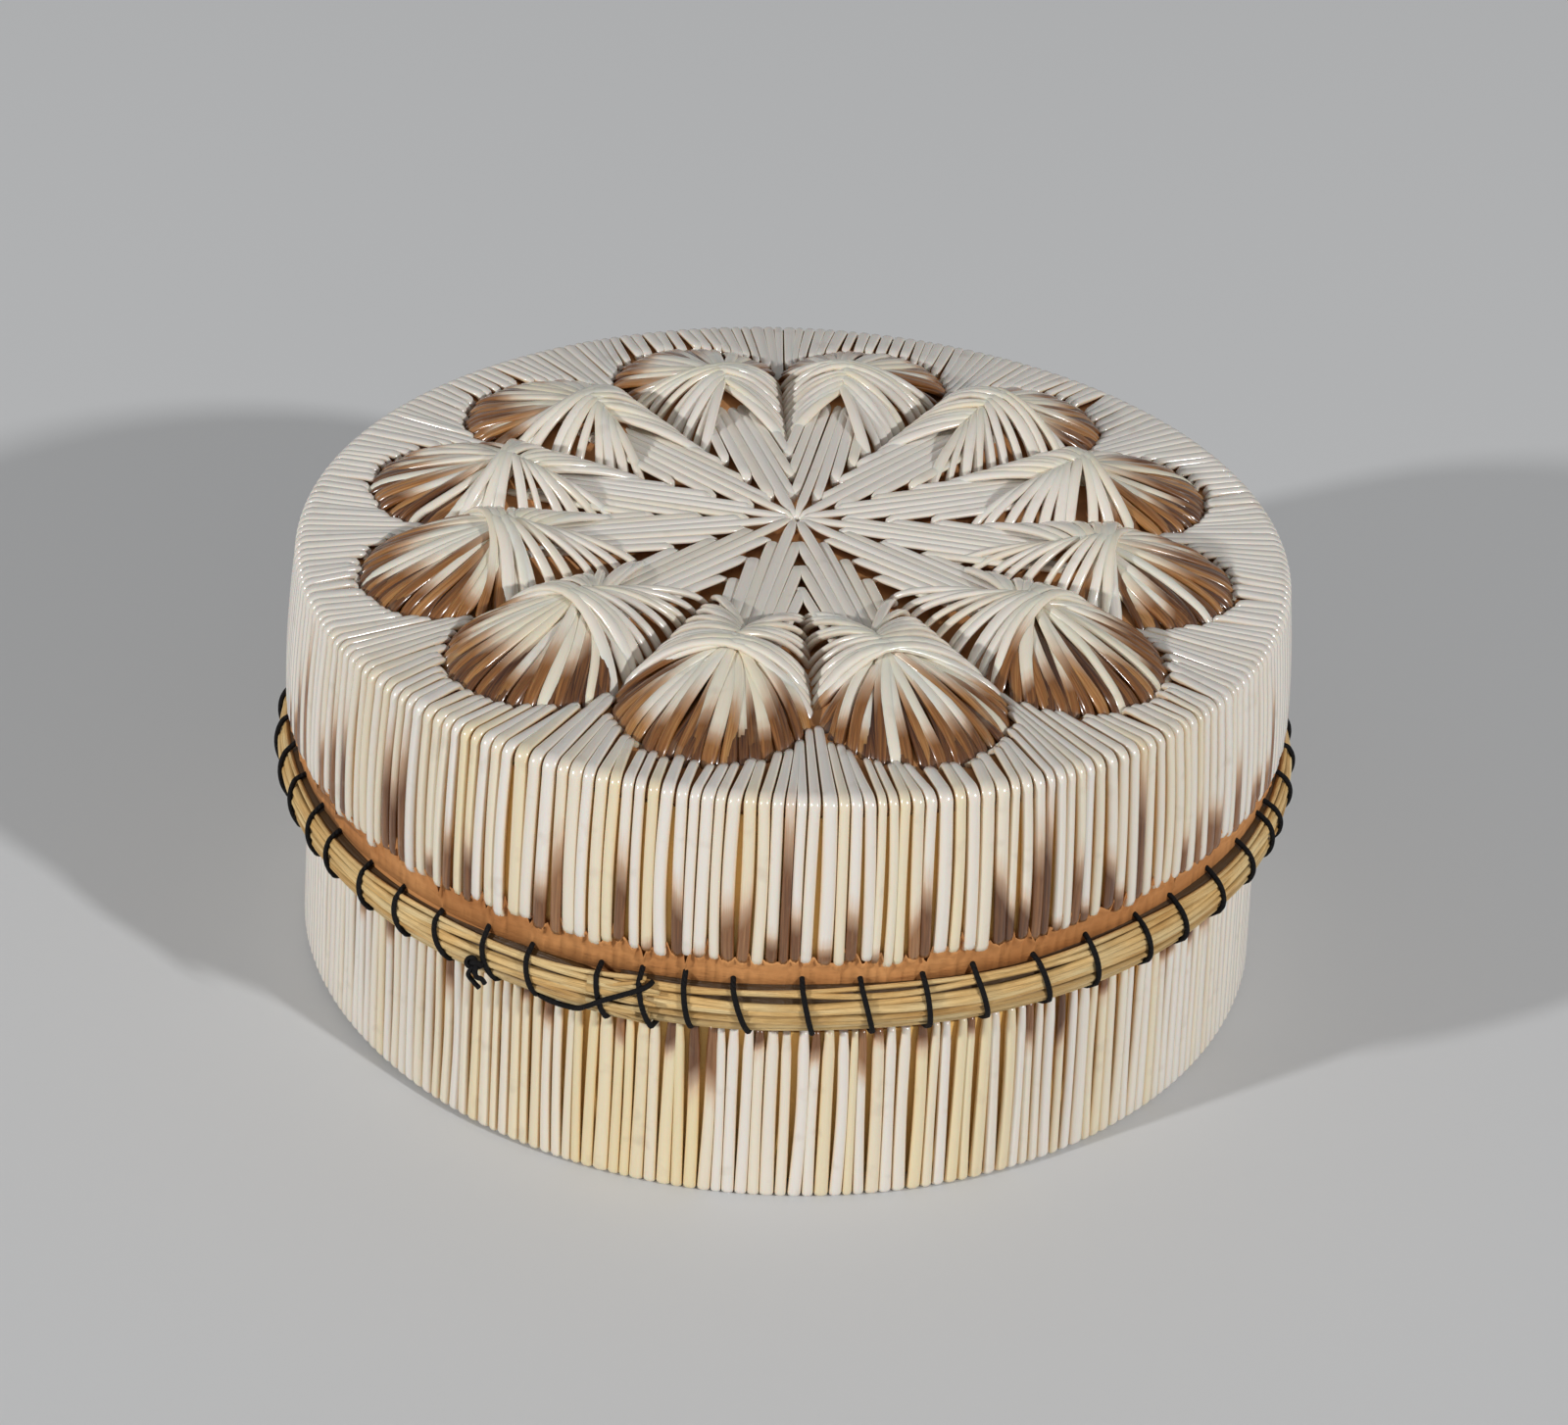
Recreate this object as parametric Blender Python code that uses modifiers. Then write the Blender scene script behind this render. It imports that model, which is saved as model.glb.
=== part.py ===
"""A round lidded birch-bark box covered with porcupine quills, in metres, +Z up.

The box stands on z = 0 with its centre line on the Z axis. The base is a bark wall and
floor with an inner collar that stands up into the lid. The lid is a bark wall and top,
covered with quills that fold over its edge, with twelve raised petals of quills on top
and a sweetgrass rim whip-stitched to its lower edge. The lid lifts straight up.
"""
import math

import bmesh
import bpy
import numpy as np
from mathutils import Matrix, Vector

# Clearance between two pieces that touch on the real box
GAP = 0.0003

# Counts
QUILLS_AROUND = 252
PETALS = 12
CROSSING_RIBS = 10
FAN_RIBS = 17
SHAFT_RIBS = 7
STITCHES = 56
ROUND_SEGMENTS = 60
RIM_SIDES = 8
SCALLOP_POINTS = 14

# Thicknesses of the materials
QUILL_THICKNESS = 0.0012
QUILL_GROOVE = 0.0005
BARK_THICKNESS = 0.0016
COLLAR_THICKNESS = 0.0012
LINING_THICKNESS = 0.0010
THREAD_DIAMETER = 0.0007

# Base
BASE_RADIUS = 0.0700
BASE_FLARE = 0.0011
BASE_HEIGHT = 0.0269
FOOT_RETURN = 0.0100
COLLAR_RISE = 0.0170

# Lid
LID_HEIGHT = 0.0348
LID_SEAT = 0.0004
LID_LEAN = 0.0021
LID_PLAY = 0.0006
BORDER_WIDTH = 0.0081
BAND_ABOVE_HOLES = 0.0029

# Petals: ribs run out from the centre as a shaft, cross over a ridge from both sides and
# spread from its end, the apex, as a fan. Places along a petal are shares of its reach, the
# fan's swell is a share of half the petal's width there, and the apex is off the middle
DOME_HEIGHT = 0.0070
CROWN_HEIGHT = 0.0012
RIB_GROOVE = 0.0010
SHAFT_TIP_RADIUS = 0.0010
FAN_SWELL_SHARE = 1.045
APEX_SHARES = (0.71, 0.72, 0.68, 0.65, 0.67, 0.68, 0.68, 0.69, 0.70, 0.71, 0.69, 0.71)
APEX_DRIFTS_DEG = (-0.2, 0.0, 1.8, -0.9, 0.3, 1.9, -1.8, -0.4, 1.6, -2.5, 1.3, -1.6)
RIDGE_START_SHARE = 0.27
FIRST_FOOT_SHARE = 0.33
FIRST_CREST_SHARE = 0.51
CROWN_REACH_SHARE = 0.48
SHAFT_RISE_SHARE = 0.82
SLOPE_WIDTH_SHARE = 0.62
SLOPE_RISE_SHARE = 0.60
RIDGE_POWER = 1.35

# Sweetgrass rim, its thread and the thread's knot
RIM_WIDTH = 0.0022
RIM_HEIGHT = 0.0060
STITCH_RISE = 0.0008
STITCH_LEAN_SHARE = 0.25
STITCH_SHOULDER_SHARE = 0.06
STITCH_UNDER_SHARES = (0.45, 0.50, 0.75)
STITCH_TOP_SHARE = 0.45
STITCH_FOOT_SHARE = 0.40
STITCH_TURN_SHARE = 0.25
KNOT_ANGLE = math.radians(-125.6)
KNOT_DEPTH = 0.0012
KNOT_WIDTH = 0.0020
KNOT_HEIGHT = 0.0018
KNOT_DROP = 0.0009

# How far a cutter runs past what it cuts, the weld of a turned shape's seam, and the share
# of the thread's diameter along it within which two places count as one stretch
CUT_OVERRUN = 0.0020
SEAM_WELD = 0.00001
SAME_STRETCH_SHARE = 4
MILLIMETRES = 1000

# Radii of the base, from its quills inwards
BASE_BARK_OUTER = BASE_RADIUS - QUILL_THICKNESS - GAP
BASE_BARK_INNER = BASE_BARK_OUTER - BARK_THICKNESS
COLLAR_OUTER = BASE_BARK_INNER - GAP
COLLAR_INNER = COLLAR_OUTER - COLLAR_THICKNESS
FOOT_INNER = BASE_RADIUS - FOOT_RETURN

# Heights of the base, from the floor upwards
FLOOR_BARK_Z = QUILL_THICKNESS + GAP
FLOOR_BARK_TOP = FLOOR_BARK_Z + BARK_THICKNESS
COLLAR_Z = FLOOR_BARK_TOP + GAP
COLLAR_TOP = BASE_HEIGHT + COLLAR_RISE

# Radii of the lid at its lower edge, which sits on the base's quilled rim
LID_BARK_INNER = BASE_RADIUS - LID_SEAT
LID_BARK_OUTER = LID_BARK_INNER + BARK_THICKNESS
LID_QUILL_INNER = LID_BARK_OUTER + GAP
LID_QUILL_OUTER = LID_QUILL_INNER + QUILL_THICKNESS
LID_TOP_RADIUS = LID_QUILL_OUTER - LID_LEAN

# Heights of the lid, with the thread between its edge and the base
LID_EDGE_Z = BASE_HEIGHT + GAP + THREAD_DIAMETER + GAP
LID_TOP_Z = LID_EDGE_Z + LID_HEIGHT
QUILL_BED_Z = LID_TOP_Z - QUILL_THICKNESS
TOP_BARK_TOP = QUILL_BED_Z - GAP
TOP_BARK_Z = TOP_BARK_TOP - BARK_THICKNESS
LID_WALL_TOP = TOP_BARK_Z - GAP
TOP_LINING_Z = LID_WALL_TOP - LINING_THICKNESS
WALL_LINING_TOP = TOP_LINING_Z - GAP

# The rim lies against the lid's lower edge, and the thread's holes are just above it
RIM_RADIUS = LID_BARK_OUTER + GAP + RIM_WIDTH / 2
RIM_Z = LID_EDGE_Z + GAP + RIM_HEIGHT / 2
RIM_TOP = RIM_Z + RIM_HEIGHT / 2
THREAD_REACH = GAP + THREAD_DIAMETER / 2
HOLE_Z = RIM_TOP + THREAD_REACH + STITCH_RISE
HOLE_SIZE = 2 * THREAD_REACH
QUILL_EDGE_Z = HOLE_Z + BAND_ABOVE_HOLES
WALL_LINING_Z = HOLE_Z + THREAD_DIAMETER + GAP

# Petals: the fan's outline is an arc up to where it meets the flank, half a gap from the
# next petal's
PETAL_REACH = LID_TOP_RADIUS - BORDER_WIDTH
PETAL_HALF_ANGLE = math.pi / PETALS
FAN_CENTRE = PETAL_REACH / (1 + FAN_SWELL_SHARE * math.sin(PETAL_HALF_ANGLE))
FAN_RADIUS = PETAL_REACH - FAN_CENTRE
FLANK_OFFSET = FAN_CENTRE * math.sin(PETAL_HALF_ANGLE) - GAP / 2
FAN_TURN = PETAL_HALF_ANGLE + math.asin(FLANK_OFFSET / FAN_RADIUS)
FAN_ARC = FAN_RADIUS * FAN_TURN
FLANK_START = FAN_CENTRE + FAN_RADIUS * math.cos(FAN_TURN)
FIRST_FOOT = PETAL_REACH * FIRST_FOOT_SHARE
FLANK_LENGTH = (FLANK_START - FIRST_FOOT) / math.cos(PETAL_HALF_ANGLE)
FIRST_CREST = PETAL_REACH * FIRST_CREST_SHARE
RIDGE_START = PETAL_REACH * RIDGE_START_SHARE
CROWN_REACH = PETAL_REACH * CROWN_REACH_SHARE
DOME_LINES = FAN_RIBS + 2 * CROSSING_RIBS

# Colour, roughness and metallic value of each material
QUILL_LOOK = ((0.78, 0.72, 0.62), 0.30, 0.0)
PETAL_LOOK = ((0.72, 0.58, 0.42), 0.30, 0.0)
BARK_LOOK = ((0.50, 0.24, 0.10), 0.75, 0.0)
LINING_LOOK = ((0.58, 0.36, 0.19), 0.80, 0.0)
GRASS_LOOK = ((0.52, 0.38, 0.17), 0.70, 0.0)
THREAD_LOOK = ((0.012, 0.012, 0.014), 0.85, 0.0)


def clear_scene():
    for item in list(bpy.data.objects):
        bpy.data.objects.remove(item, do_unlink=True)


def new_collection(name):
    collection = bpy.data.collections.new(name)
    bpy.context.scene.collection.children.link(collection)
    return collection


def new_material(name, look):
    colour, roughness, metallic = look
    material = bpy.data.materials.new(name)
    material.use_nodes = True
    shader = material.node_tree.nodes["Principled BSDF"]
    shader.inputs["Base Color"].default_value = (*colour, 1.0)
    shader.inputs["Roughness"].default_value = roughness
    shader.inputs["Metallic"].default_value = metallic
    return material


def add_piece(name, data, look, parent=None):
    """Put a mesh or curve in the part's collection, with its own material."""
    item = bpy.data.objects.new(name, data)
    PART.objects.link(item)
    if not data.materials:
        data.materials.append(new_material(name + "_finish", look))
    item.parent = parent
    return item


def add_cutter(name, bm):
    item = bpy.data.objects.new(name, mesh_from(name, bm))
    CUTTERS.objects.link(item)
    item.hide_render = True
    item.display_type = "WIRE"
    return item


def mesh_from(name, bm):
    mesh = bpy.data.meshes.new(name)
    bmesh.ops.recalc_face_normals(bm, faces=bm.faces)
    bm.to_mesh(mesh)
    bm.free()
    mesh.shade_smooth()
    mesh.set_sharp_from_angle(angle=math.radians(30))
    return mesh


def frustum(low_radius, low_z, top_radius, top_z, segments=ROUND_SEGMENTS):
    bm = bmesh.new()
    middle = Matrix.Translation((0, 0, (low_z + top_z) / 2))
    bmesh.ops.create_cone(bm, cap_ends=True, segments=segments, radius1=low_radius,
                          radius2=top_radius, depth=top_z - low_z, matrix=middle)
    return bm


def add_disc(name, radius, low_z, top_z, look, parent=None):
    return add_piece(name, mesh_from(name, frustum(radius, low_z, radius, top_z)), look, parent)


def add_turned(name, profile, look, parent=None):
    """Turn a closed profile of radii and heights that starts at the top of its outer side."""
    mesh = bpy.data.meshes.new(name)
    count = len(profile)
    points = [(radius, 0, height) for radius, height in profile]
    mesh.from_pydata(points, [(i, (i + 1) % count) for i in range(count)], [])
    item = add_piece(name, mesh, look, parent)
    screw = item.modifiers.new("turn", "SCREW")
    screw.angle = 2 * math.pi
    screw.steps = ROUND_SEGMENTS
    screw.render_steps = ROUND_SEGMENTS
    screw.use_merge_vertices = True
    screw.merge_threshold = SEAM_WELD
    return item


def cut(item, cutter):
    boolean = item.modifiers.new("cut_" + cutter.name, "BOOLEAN")
    boolean.operation = "DIFFERENCE"
    boolean.solver = "EXACT"
    boolean.object = cutter


def in_groove(vertex):
    """Every second corner of a quilled drum, counted from +Y, lies between two quills."""
    step = math.pi / QUILLS_AROUND
    return round(math.atan2(vertex.co.x, vertex.co.y) / step) % 2 == 1


def quilled_drum(low_radius, low_z, top_radius, top_z):
    """A drum with one upright ridge for each quill."""
    bm = frustum(low_radius, low_z, top_radius, top_z, 2 * QUILLS_AROUND)
    for vertex in filter(in_groove, bm.verts):
        reach = math.hypot(vertex.co.x, vertex.co.y)
        vertex.co.xy *= (reach - QUILL_GROOVE) / reach
    return bm


def groove_top(bm, top_z):
    """Make the top face a fan from the centre, whose grooves meet those of the side."""
    top = max(bm.faces, key=lambda face: face.calc_center_median().z)
    for vertex in filter(in_groove, top.verts):
        vertex.co.z -= QUILL_GROOVE
    centre = bmesh.ops.poke(bm, faces=[top])["verts"][0]
    centre.co = (0, 0, top_z)


def add_base_quills():
    """Quills up the wall, whose lower ends turn in beneath the floor."""
    bm = quilled_drum(BASE_RADIUS + BASE_FLARE, 0, BASE_RADIUS, BASE_HEIGHT)
    quills = add_piece("base_wall_quills", mesh_from("base_wall_quills", bm), QUILL_LOOK)
    inner = BASE_BARK_OUTER + GAP
    above = BASE_HEIGHT + CUT_OVERRUN
    cut(quills, add_cutter("base_well", frustum(inner, QUILL_THICKNESS, inner, above)))
    hole = frustum(FOOT_INNER, -CUT_OVERRUN, FOOT_INNER, BASE_HEIGHT)
    cut(quills, add_cutter("foot_opening", hole))


def add_base():
    add_base_quills()
    add_turned("base_wall_bark",
               [(BASE_BARK_OUTER, BASE_HEIGHT), (BASE_BARK_OUTER, FLOOR_BARK_Z),
                (BASE_BARK_INNER, FLOOR_BARK_Z), (BASE_BARK_INNER, BASE_HEIGHT)], BARK_LOOK)
    add_disc("base_floor_bark", BASE_BARK_INNER - GAP, FLOOR_BARK_Z, FLOOR_BARK_TOP, BARK_LOOK)
    add_turned("base_collar_bark",
               [(COLLAR_OUTER, COLLAR_TOP), (COLLAR_OUTER, COLLAR_Z),
                (COLLAR_INNER, COLLAR_Z), (COLLAR_INNER, COLLAR_TOP)], LINING_LOOK)
    add_disc("base_floor_lining", COLLAR_INNER - GAP, COLLAR_Z, COLLAR_Z + LINING_THICKNESS,
             LINING_LOOK)


def wall_radius(lower_radius, height):
    """The lid's wall leans in from the quills' lower edge up to the top bark."""
    climb = (height - QUILL_EDGE_Z) / (TOP_BARK_TOP - QUILL_EDGE_Z)
    return lower_radius - LID_LEAN * climb


def stitch_pitch():
    return 2 * math.pi / STITCHES


def hole_angle(number):
    return KNOT_ANGLE + (number - STITCH_LEAN_SHARE / 2) * stitch_pitch()


def stitch_holes():
    """One square hole through the lid's bark for each stitch, as one cutter."""
    bm = bmesh.new()
    depth = BARK_THICKNESS + 2 * CUT_OVERRUN
    size = Matrix.Diagonal((depth, HOLE_SIZE, HOLE_SIZE, 1))
    place = Matrix.Translation((LID_BARK_INNER + BARK_THICKNESS / 2, 0, HOLE_Z))
    for number in range(STITCHES):
        turn = Matrix.Rotation(hole_angle(number), 4, "Z")
        bmesh.ops.create_cube(bm, size=1, matrix=turn @ place @ size)
    return bm


def add_lid_bark(lid):
    top_outer = wall_radius(LID_BARK_OUTER, LID_WALL_TOP)
    top_inner = wall_radius(LID_BARK_INNER, LID_WALL_TOP)
    wall = add_turned("lid_wall_bark",
                      [(top_outer, LID_WALL_TOP), (LID_BARK_OUTER, QUILL_EDGE_Z),
                       (LID_BARK_OUTER, LID_EDGE_Z), (LID_BARK_INNER, LID_EDGE_Z),
                       (LID_BARK_INNER, QUILL_EDGE_Z), (top_inner, LID_WALL_TOP)],
                      BARK_LOOK, lid)
    cut(wall, add_cutter("stitch_holes", stitch_holes()))
    add_disc("lid_top_bark", wall_radius(LID_BARK_OUTER, TOP_BARK_TOP), TOP_BARK_Z,
             TOP_BARK_TOP, BARK_LOOK, lid)


def add_lid_lining(lid):
    """The wall's lining is as thick as leaves the named play around the collar's top."""
    at_collar_top = wall_radius(LID_BARK_INNER, COLLAR_TOP) - GAP
    thickness = at_collar_top - COLLAR_OUTER - LID_PLAY
    low = LID_BARK_INNER - GAP
    top = wall_radius(LID_BARK_INNER, WALL_LINING_TOP) - GAP
    add_turned("lid_wall_lining",
               [(top, WALL_LINING_TOP), (low, QUILL_EDGE_Z), (low, WALL_LINING_Z),
                (low - thickness, WALL_LINING_Z), (low - thickness, QUILL_EDGE_Z),
                (top - thickness, WALL_LINING_TOP)], LINING_LOOK, lid)
    add_disc("lid_top_lining", wall_radius(LID_BARK_INNER, LID_WALL_TOP) - GAP, TOP_LINING_Z,
             LID_WALL_TOP, LINING_LOOK, lid)


def scallop_opening():
    """A prism over all the petals, with the gap around their fans."""
    bm = bmesh.new()
    corners = []
    for number in range(PETALS * SCALLOP_POINTS):
        offset = (number / SCALLOP_POINTS % 1 - 1 / 2) * 2 * PETAL_HALF_ANGLE
        across = FAN_CENTRE * math.sin(offset)
        reach = FAN_CENTRE * math.cos(offset) + math.sqrt((FAN_RADIUS + GAP) ** 2 - across ** 2)
        angle = number / SCALLOP_POINTS * 2 * PETAL_HALF_ANGLE
        corners.append(bm.verts.new((reach * math.cos(angle), reach * math.sin(angle),
                                     QUILL_BED_Z - CUT_OVERRUN)))
    floor = bm.faces.new(corners)
    raised = bmesh.ops.extrude_face_region(bm, geom=[floor])["geom"]
    rise = Vector((0, 0, QUILL_THICKNESS + 2 * CUT_OVERRUN))
    raised_corners = [part for part in raised if isinstance(part, bmesh.types.BMVert)]
    bmesh.ops.translate(bm, verts=raised_corners, vec=rise)
    return bm


def add_border_quills(lid):
    """Quills up the lid's side that fold over its edge and run in to the petals."""
    bm = quilled_drum(LID_QUILL_OUTER, QUILL_EDGE_Z, LID_TOP_RADIUS, LID_TOP_Z)
    groove_top(bm, LID_TOP_Z)
    quills = add_piece("lid_border_quills", mesh_from("lid_border_quills", bm), QUILL_LOOK, lid)
    below = QUILL_EDGE_Z - CUT_OVERRUN
    inside = frustum(wall_radius(LID_QUILL_INNER, below), below,
                     wall_radius(LID_QUILL_INNER, QUILL_BED_Z), QUILL_BED_Z)
    cut(quills, add_cutter("lid_inside", inside))
    cut(quills, add_cutter("scallop_opening", scallop_opening()))


def petal_half_width(along):
    """Half the room of a petal at a distance along its middle line, less half the gap."""
    return along * math.tan(PETAL_HALF_ANGLE) - GAP / 2 / math.cos(PETAL_HALF_ANGLE)


def flank_place(half_width):
    """Where along its middle line a petal has room for a half width."""
    return (half_width + GAP / 2 / math.cos(PETAL_HALF_ANGLE)) / math.tan(PETAL_HALF_ANGLE)


def dome_foot(share):
    """A point at a share of the way round from the fan's outermost point to the first foot."""
    arc = share * (FAN_ARC + FLANK_LENGTH)
    if arc < FAN_ARC:
        turn = arc / FAN_RADIUS
        return FAN_CENTRE + FAN_RADIUS * math.cos(turn), FAN_RADIUS * math.sin(turn)
    along = FLANK_START - (arc - FAN_ARC) * math.cos(PETAL_HALF_ANGLE)
    return along, petal_half_width(along)


def ridge_height(along, apex):
    """How high the ridge stands over the lid's top, which it leaves under the shaft."""
    back = min(1, (apex - along) / (apex - RIDGE_START))
    return DOME_HEIGHT * (1 - back ** RIDGE_POWER)


def rib_end(number, apex):
    """The fan's ribs end at the apex, and the crossing ones down the ridge in turn."""
    share = max(0, number + 1 - FAN_RIBS) / (2 * CROSSING_RIBS)
    return apex + (FIRST_CREST - apex) * share


def dome_line(number, side, apex, drift):
    """Foot, slope and end of a rib's crest or groove; crests of one side meet grooves of
    the other on the ridge."""
    along = rib_end(number, apex)
    reach, across = dome_foot((number + 1 / 2) / DOME_LINES)
    foot = Vector((reach, side * across, QUILL_BED_Z))
    end = Vector((along, along * math.sin(drift), LID_TOP_Z + ridge_height(along, apex)))
    slope = end.lerp(foot, SLOPE_WIDTH_SHARE)
    slope.z = foot.z + (end.z - foot.z) * SLOPE_RISE_SHARE
    if (number + (side > 0)) % 2 == 0:
        slope.z -= RIB_GROOVE
    return [foot, slope, end]


def shaft_line(number, first_rib, apex):
    """A crest or groove of the shaft, from its cut end to under the dome's first rib."""
    foot, slope, end = first_rib
    groove = QUILL_GROOVE * (number % 2)
    share = abs(number) / SHAFT_RIBS
    past_slope = (share - SLOPE_WIDTH_SHARE) / (1 - SLOPE_WIDTH_SHARE)
    under = slope.lerp(foot, past_slope)
    if past_slope < 0:
        under = end.lerp(slope, share / SLOPE_WIDTH_SHARE)
    under.z = foot.z + (under.z - foot.z) * SHAFT_RISE_SHARE - groove
    across = foot.y * share
    start = Vector((max(SHAFT_TIP_RADIUS, flank_place(abs(across))), across, QUILL_BED_Z))
    line = [start, start.copy(), start.lerp(under, 1 / 2), under]
    for point in line[1:3]:
        crown = CROWN_HEIGHT * max(0, 1 - point.x / CROWN_REACH)
        rise = ridge_height(point.x, apex) * SHAFT_RISE_SHARE
        point.z = LID_TOP_Z + crown + rise - groove
    return line


def add_face(bm, points):
    """A face through points, without those that repeat the one before."""
    corners = [point for i, point in enumerate(points) if point != points[i - 1]]
    bm.faces.new([bm.verts.new(corner) for corner in corners])


def add_strips(bm, lines):
    """Faces between each line of points and the next."""
    for line, following in zip(lines, lines[1:]):
        for i in range(len(line) - 1):
            add_face(bm, (line[i], line[i + 1], following[i + 1], following[i]))


def petal_mesh(apex, drift):
    """A dome of ribs, and the shaft's ribs that run in to the lid's centre from under it."""
    bm = bmesh.new()
    right = [dome_line(number, 1, apex, drift) for number in range(DOME_LINES)]
    left = [dome_line(number, -1, apex, drift) for number in range(DOME_LINES)]
    right_shaft = [shaft_line(number, right[-1], apex) for number in range(SHAFT_RIBS)]
    left_shaft = [shaft_line(number, left[-1], apex) for number in range(SHAFT_RIBS)]
    add_strips(bm, right[::-1] + left)
    for dome, shaft in ((right, right_shaft), (left, left_shaft)):
        first_foot = dome[-1][0]
        add_strips(bm, [*shaft, [first_foot] * len(shaft[0])])
        add_face(bm, dome[-1] + [line[-1] for line in shaft])
    around = right + right_shaft[::-1] + left_shaft[1:] + left[::-1]
    add_face(bm, [line[0] for line in around])
    bmesh.ops.remove_doubles(bm, verts=bm.verts, dist=SEAM_WELD)
    return mesh_from("petal_quills", bm)


def add_petals(lid):
    for number in range(PETALS):
        apex = PETAL_REACH * APEX_SHARES[number]
        mesh = petal_mesh(apex, math.radians(APEX_DRIFTS_DEG[number]))
        petal = add_piece(f"petal_quills_{number + 1:02d}", mesh, PETAL_LOOK, lid)
        petal.rotation_euler.z = (2 * number + 1) * PETAL_HALF_ANGLE


def add_rim(lid):
    """The sweetgrass bundle, an upright oval in section."""
    profile = []
    for number in range(RIM_SIDES):
        angle = math.pi / 2 - 2 * math.pi * number / RIM_SIDES
        profile.append((RIM_RADIUS + RIM_WIDTH / 2 * math.cos(angle),
                        RIM_Z + RIM_HEIGHT / 2 * math.sin(angle)))
    add_turned("rim_sweetgrass", profile, GRASS_LOOK, lid)


def around(radius, angle, height):
    return Vector((radius * math.cos(angle), radius * math.sin(angle), height))


def knot_place():
    radius = RIM_RADIUS + RIM_WIDTH / 2 + GAP + KNOT_DEPTH / 2
    return radius, RIM_Z - KNOT_DROP


def thread_points():
    """The thread leaves the knot, goes round edge and rim once a stitch, and comes back."""
    outside = RIM_RADIUS + RIM_WIDTH / 2 + THREAD_REACH
    inside = LID_BARK_INNER - THREAD_REACH
    below = LID_EDGE_Z - THREAD_REACH
    edge_share, corner_share, climb_share = STITCH_UNDER_SHARES
    under = [(STITCH_LEAN_SHARE, RIM_RADIUS + RIM_WIDTH * STITCH_TURN_SHARE, below),
             (edge_share, inside + GAP, below),
             (corner_share, inside, below + GAP),
             (climb_share, inside, (below + HOLE_Z) / 2),
             (1, inside, HOLE_Z)]
    over = [(0, LID_BARK_OUTER + THREAD_REACH, HOLE_Z),
            (STITCH_SHOULDER_SHARE, outside, RIM_Z + RIM_HEIGHT * STITCH_TOP_SHARE),
            (STITCH_LEAN_SHARE, outside, RIM_Z - RIM_HEIGHT * STITCH_FOOT_SHARE)]
    knot_radius, knot_z = knot_place()
    start_z = knot_z - KNOT_HEIGHT / 2 - GAP
    end_z = knot_z + KNOT_HEIGHT / 2 + GAP
    points = [around(knot_radius, KNOT_ANGLE, start_z),
              around(knot_radius, KNOT_ANGLE, start_z - THREAD_DIAMETER)]
    for number in range(STITCHES):
        run = under if number == 0 else over + under
        for share, radius, height in run:
            points.append(around(radius, hole_angle(number + share), height))
    for share, radius, height in over[:2]:
        points.append(around(radius, hole_angle(STITCHES + share), height))
    points.append(around(knot_radius, KNOT_ANGLE, end_z + THREAD_DIAMETER))
    points.append(around(knot_radius, KNOT_ANGLE, end_z))
    return points


def least_gap(points, diameter):
    """The least distance between two stretches of a tube, less its diameter."""
    corners = np.array([tuple(point) for point in points])
    shares = np.linspace(0, 1, 6)[:-1, None, None]
    samples = (corners[:-1] * (1 - shares) + corners[1:] * shares).transpose(1, 0, 2).reshape(-1, 3)
    steps = np.linalg.norm(np.diff(samples, axis=0), axis=1)
    run = np.concatenate([[0], np.cumsum(steps)])
    apart = np.linalg.norm(samples[:, None] - samples[None], axis=2)
    near = np.abs(run[:, None] - run[None]) < SAME_STRETCH_SHARE * diameter
    return apart[~near].min() - diameter


def add_thread(lid):
    points = thread_points()
    curve = bpy.data.curves.new("rim_thread", "CURVE")
    curve.dimensions = "3D"
    curve.bevel_depth = THREAD_DIAMETER / 2
    curve.bevel_resolution = 1
    curve.use_fill_caps = True
    spline = curve.splines.new("POLY")
    spline.points.add(len(points) - 1)
    for place, point in zip(spline.points, points):
        place.co = (*point, 1)
    add_piece("rim_thread", curve, THREAD_LOOK, lid)
    gap_mm = least_gap(points, THREAD_DIAMETER) * MILLIMETRES
    print(f"rim_thread: {STITCHES} stitches, least gap to itself {gap_mm:.2f} mm")


def add_knot(lid):
    bm = bmesh.new()
    size = Matrix.Diagonal((KNOT_DEPTH / 2, KNOT_WIDTH / 2, KNOT_HEIGHT / 2, 1))
    bmesh.ops.create_icosphere(bm, subdivisions=2, radius=1, matrix=size)
    knot = add_piece("rim_knot", mesh_from("rim_knot", bm), THREAD_LOOK, lid)
    radius, height = knot_place()
    knot.location = around(radius, KNOT_ANGLE, height)
    knot.rotation_euler.z = KNOT_ANGLE


def add_lid():
    lid = bpy.data.objects.new("lid_slide_axis", None)
    PART.objects.link(lid)
    add_lid_bark(lid)
    add_lid_lining(lid)
    add_border_quills(lid)
    add_petals(lid)
    add_rim(lid)
    add_thread(lid)
    add_knot(lid)


clear_scene()
PART = new_collection("quill_box")
CUTTERS = new_collection("cutters")
add_base()
add_lid()
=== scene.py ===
"""The finish of a round birch-bark box covered with porcupine quills, in metres, +Z up.

Every quill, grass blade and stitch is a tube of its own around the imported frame: the lid's
quills fold over its edge, the base's turn in under its foot, and twelve domes of crossed
quills stand on the lid around a star. Bark walls and linings are sheets with a lap.
"""
from math import acos, copysign, cos, exp, pi, radians, sin, sqrt, tan

import bpy
import numpy as np
from mathutils import Matrix, Vector


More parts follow.
